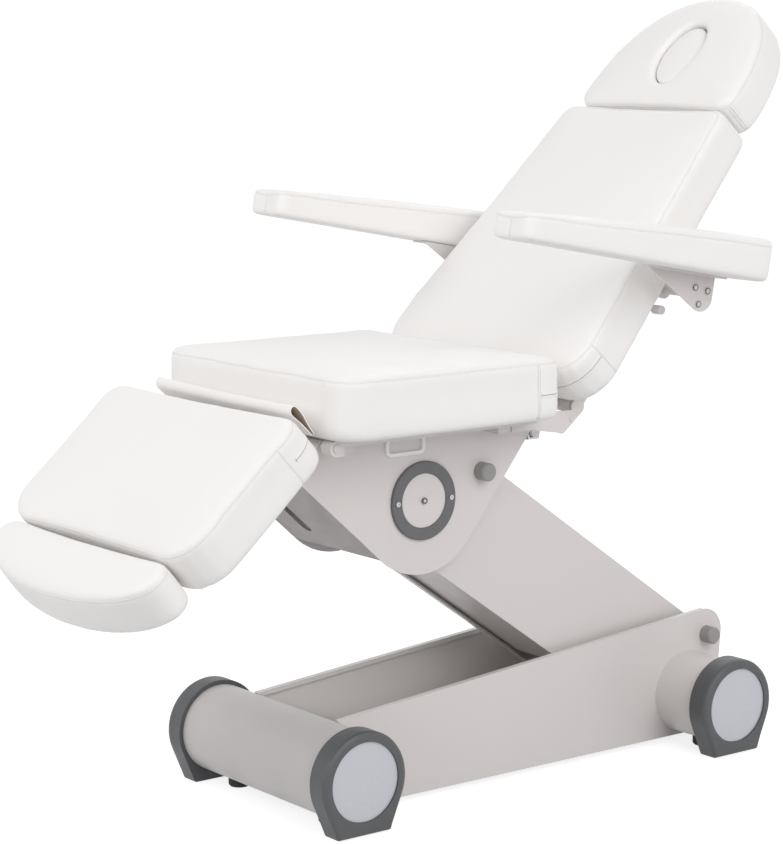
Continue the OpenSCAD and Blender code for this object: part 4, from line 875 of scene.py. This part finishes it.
def layFlap():
    edge, base = readPoints(nodes["seat_cushion"])[:, 1].min(), readPoints(nodes["seat_board"])[:, 2].min()
    soft = softPath()
    points, faces = [], []
    free = np.clip((soft[:, 1] - flapPlan["freeFrom"]) / flapPlan["freeOver"], 0, 1)
    for x in np.linspace(flapPlan["far"], flapPlan["near"], flapPlan["steps"]):
        share = (x - flapPlan["near"]) / (flapPlan["far"] - flapPlan["near"])
        lift = flapPlan["farRise"] * share - flapPlan["sag"] * math.sin(math.pi * share)
        for k, (y, z) in enumerate(soft):
            spot = Vector((x / flapPlan["waveAcross"], z / flapPlan["waveUp"], flapPlan["waveSlice"]))
            ripple = noise.noise(spot) * flapPlan["wave"] * free[k]
            points.append((x * mm, edge + (y + ripple) * mm, base + (z + lift * free[k]) * mm))
    n = len(soft)
    for i in range(flapPlan["steps"] - 1):
        for k in range(n - 1):
            faces.append((i * n + k, i * n + k + 1, (i + 1) * n + k + 1, (i + 1) * n + k))
    mesh = bpy.data.meshes.new("seatFlap")
    mesh.from_pydata(points, [], faces)
    flap = addObject("seatFlap", mesh)
    applyModifier(flap, "SOLIDIFY", thickness=flapPlan["thick"] * mm, offset=0)
    turnFacesOut(flap)
    smoothUnder(flap, flapPlan["crisp"])
    paint(flap, "whiteLeatherette", "liningCloth")
    # the side of the strip that is turned in shows its lining
    run = np.stack([edge + soft[:, 0] * mm, base + soft[:, 1] * mm], 1)
    for face in flap.data.polygons:
        place = np.array([face.center.y, face.center.z])
        k = int(np.argmin(np.linalg.norm(run[1:-1] - place, axis=1))) + 1
        d = run[k + 1] - run[k - 1]
        turned = -d[1] * face.normal.y + d[0] * face.normal.z
        face.material_index = int(turned > flapPlan["liningFrom"] * np.linalg.norm(d))
    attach(flap, "carriage")
    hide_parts("seat_flap")
    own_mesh(flap)


layFlap()
print("flap laid")


seatFramePlan = {
    # each rail's two faces from the bed's middle, and the cut's ends from the frame's own, in mm
    "railIn": 214.9, "railOut": 247, "from": 32, "to": 12, "up": 17.5, "overrun": 10, "crisp": 30,
}


def trimSeatFrame():
    # the rails stand clear above the cover's lower edge, so that the seat hides them
    seatFrame = copyOfNode("seat_frame", "seatFrame")
    points = readPoints(seatFrame)
    low, high = points.min(0), points.max(0)
    start, stop = low[1] + seatFramePlan["from"] * mm, high[1] + seatFramePlan["to"] * mm
    inner, outer = seatFramePlan["railIn"] * mm, seatFramePlan["railOut"] * mm
    up, overrun = seatFramePlan["up"] * mm, seatFramePlan["overrun"] * mm
    for side in (-1, 1):
        bpy.ops.object.select_all(action="DESELECT")
        middle = (side * (inner + outer) / 2, (start + stop) / 2, low[2] + up / 2 - overrun / 2)
        bpy.ops.mesh.primitive_cube_add(size=1, location=middle)
        cutter = bpy.context.active_object
        cutter.scale = (outer - inner, stop - start, up + overrun)
        bpy.ops.object.transform_apply(location=True, rotation=False, scale=True)
        applyModifier(seatFrame, "BOOLEAN", operation="DIFFERENCE", solver="EXACT", object=cutter)
        bpy.data.objects.remove(cutter)
    paint(seatFrame, "warmGreyPaint")
    smoothUnder(seatFrame, seatFramePlan["crisp"])
    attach(seatFrame, "carriage")
    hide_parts("seat_frame")


trimSeatFrame()
print("seat frame trimmed")


hangerPlan = {"fuller": 1.4, "up": 7, "crisp": 40}


def thickenHanger():
    # the loop is softer and stouter than its bent wire
    hanger = copyOfNode("remote_hanger", "remoteHanger")
    applyModifier(hanger, "SUBSURF", levels=1, render_levels=1, subdivision_type="SIMPLE")
    applyModifier(hanger, "DISPLACE", strength=hangerPlan["fuller"] * mm, mid_level=0)
    hanger.data.transform(Matrix.Translation((0, 0, hangerPlan["up"] * mm)))
    smoothUnder(hanger, hangerPlan["crisp"])
    paint(hanger, "coatedWire")
    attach(hanger, "carriage")
    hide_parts("remote_hanger")


thickenHanger()
print("hanger done")


screwPlan = {
    "facets": 32, "deep": 1.2, "rim": 1.7, "sink": 0.9, "socket": 1.3, "socketRise": 0.8,
    "frontFacing": 0.9, "brightShare": 0.3, "probe": 6.5, "crisp": 35,
}
restScrews = {
    # on a ring round the armrest's pivot, which is given as (y, z) in metres
    "pivot": (0.415078, 0.97385), "ring": 20, "angles": (35, 155, 275), "radius": 6.4, "bury": 1,
}
discScrews = {"radius": 6.2, "bury": 2.2}


def pickFaces(obj, wanted):
    bpy.ops.object.mode_set(mode="OBJECT")
    mesh = obj.data
    for part in (*mesh.edges, *mesh.vertices):
        part.select = False
    for face in mesh.polygons:
        face.select = bool(wanted(face))
    bpy.ops.object.mode_set(mode="EDIT")
    bpy.ops.mesh.select_mode(type="FACE")


def turnScrew(radius):
    # one round head with a raised rim and a sunk socket, its axis along X
    bpy.ops.object.select_all(action="DESELECT")
    deep, sink = screwPlan["deep"] * mm, screwPlan["sink"]
    bpy.ops.mesh.primitive_cylinder_add(vertices=screwPlan["facets"], radius=radius * mm, depth=deep,
                                        location=(deep / 2, 0, 0), rotation=(0, math.radians(90), 0))
    screw = bpy.context.active_object
    bpy.ops.object.transform_apply(location=True, rotation=True, scale=True)
    pickFaces(screw, lambda face: face.normal.x > screwPlan["frontFacing"])
    bpy.ops.mesh.inset(thickness=screwPlan["rim"] * mm)
    bpy.ops.mesh.extrude_region_move(TRANSFORM_OT_translate={"value": (-sink * mm, 0, 0)})
    bpy.ops.mesh.inset(thickness=screwPlan["socket"] * mm)
    rise = sink * screwPlan["socketRise"] * mm
    bpy.ops.mesh.extrude_region_move(TRANSFORM_OT_translate={"value": (rise, 0, 0)})
    bpy.ops.object.mode_set(mode="OBJECT")
    paint(screw, "screwSteel", "platedSteel")
    bright = radius * screwPlan["brightShare"] * mm
    for face in screw.data.polygons:
        front = face.normal.x > screwPlan["frontFacing"]
        face.material_index = int(front and face.center.yz.length < bright)
    return screw


def outmost(points, facing):
    return points[:, 0].max() if facing > 0 else points[:, 0].min()


def onFace(name, y, z, facing):
    # the furthest surface of a CAD node at one place seen from the side
    points = readPoints(nodes[name])
    near = points[np.hypot(points[:, 1] - y, points[:, 2] - z) < screwPlan["probe"] * mm]
    return outmost(near, facing)


def setScrews(name, places, radius, body, facing):
    model = turnScrew(radius)
    if facing < 0:
        model.data.transform(Matrix.Scale(-1, 4, (1, 0, 0)))
        model.data.flip_normals()
    for i, place in enumerate(places):
        screw = addObject(name + str(i), model.data.copy())
        screw.data.transform(Matrix.Translation(place))
        smoothUnder(screw, screwPlan["crisp"])
        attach(screw, body)
    bpy.data.objects.remove(model)


def setRestScrews(side, facing):
    places = []
    tilt, ring = math.radians(restTilt), restScrews["ring"]
    for degrees in restScrews["angles"]:
        angle = math.radians(degrees)
        ahead, above = -ring * math.cos(angle) * mm, ring * math.sin(angle) * mm
        y = restScrews["pivot"][0] + ahead * math.cos(tilt) - above * math.sin(tilt)
        z = restScrews["pivot"][1] + ahead * math.sin(tilt) + above * math.cos(tilt)
        x = onFace("rest_bracket_" + side, y, z, facing) - facing * restScrews["bury"] * mm
        places.append((x, y, z))
    setScrews("restScrew" + side.title(), places, restScrews["radius"], "armrest_" + side, facing)


def setDiscScrew(side, facing):
    # one in the middle of each hinge disc, level with the ring's own screws
    points = readPoints(nodes["ring_screws"])
    points = points[points[:, 0] * facing > 0]
    centre = (points.min(0) + points.max(0)) / 2
    x = outmost(points, facing) - facing * discScrews["bury"] * mm
    places = [(x, centre[1], centre[2])]
    setScrews("discScrew" + side.title(), places, discScrews["radius"], "carriage", facing)


for setOne in (setRestScrews, setDiscScrew):
    for side, facing in (("right", 1), ("left", -1)):
        setOne(side, facing)
print("screws set")
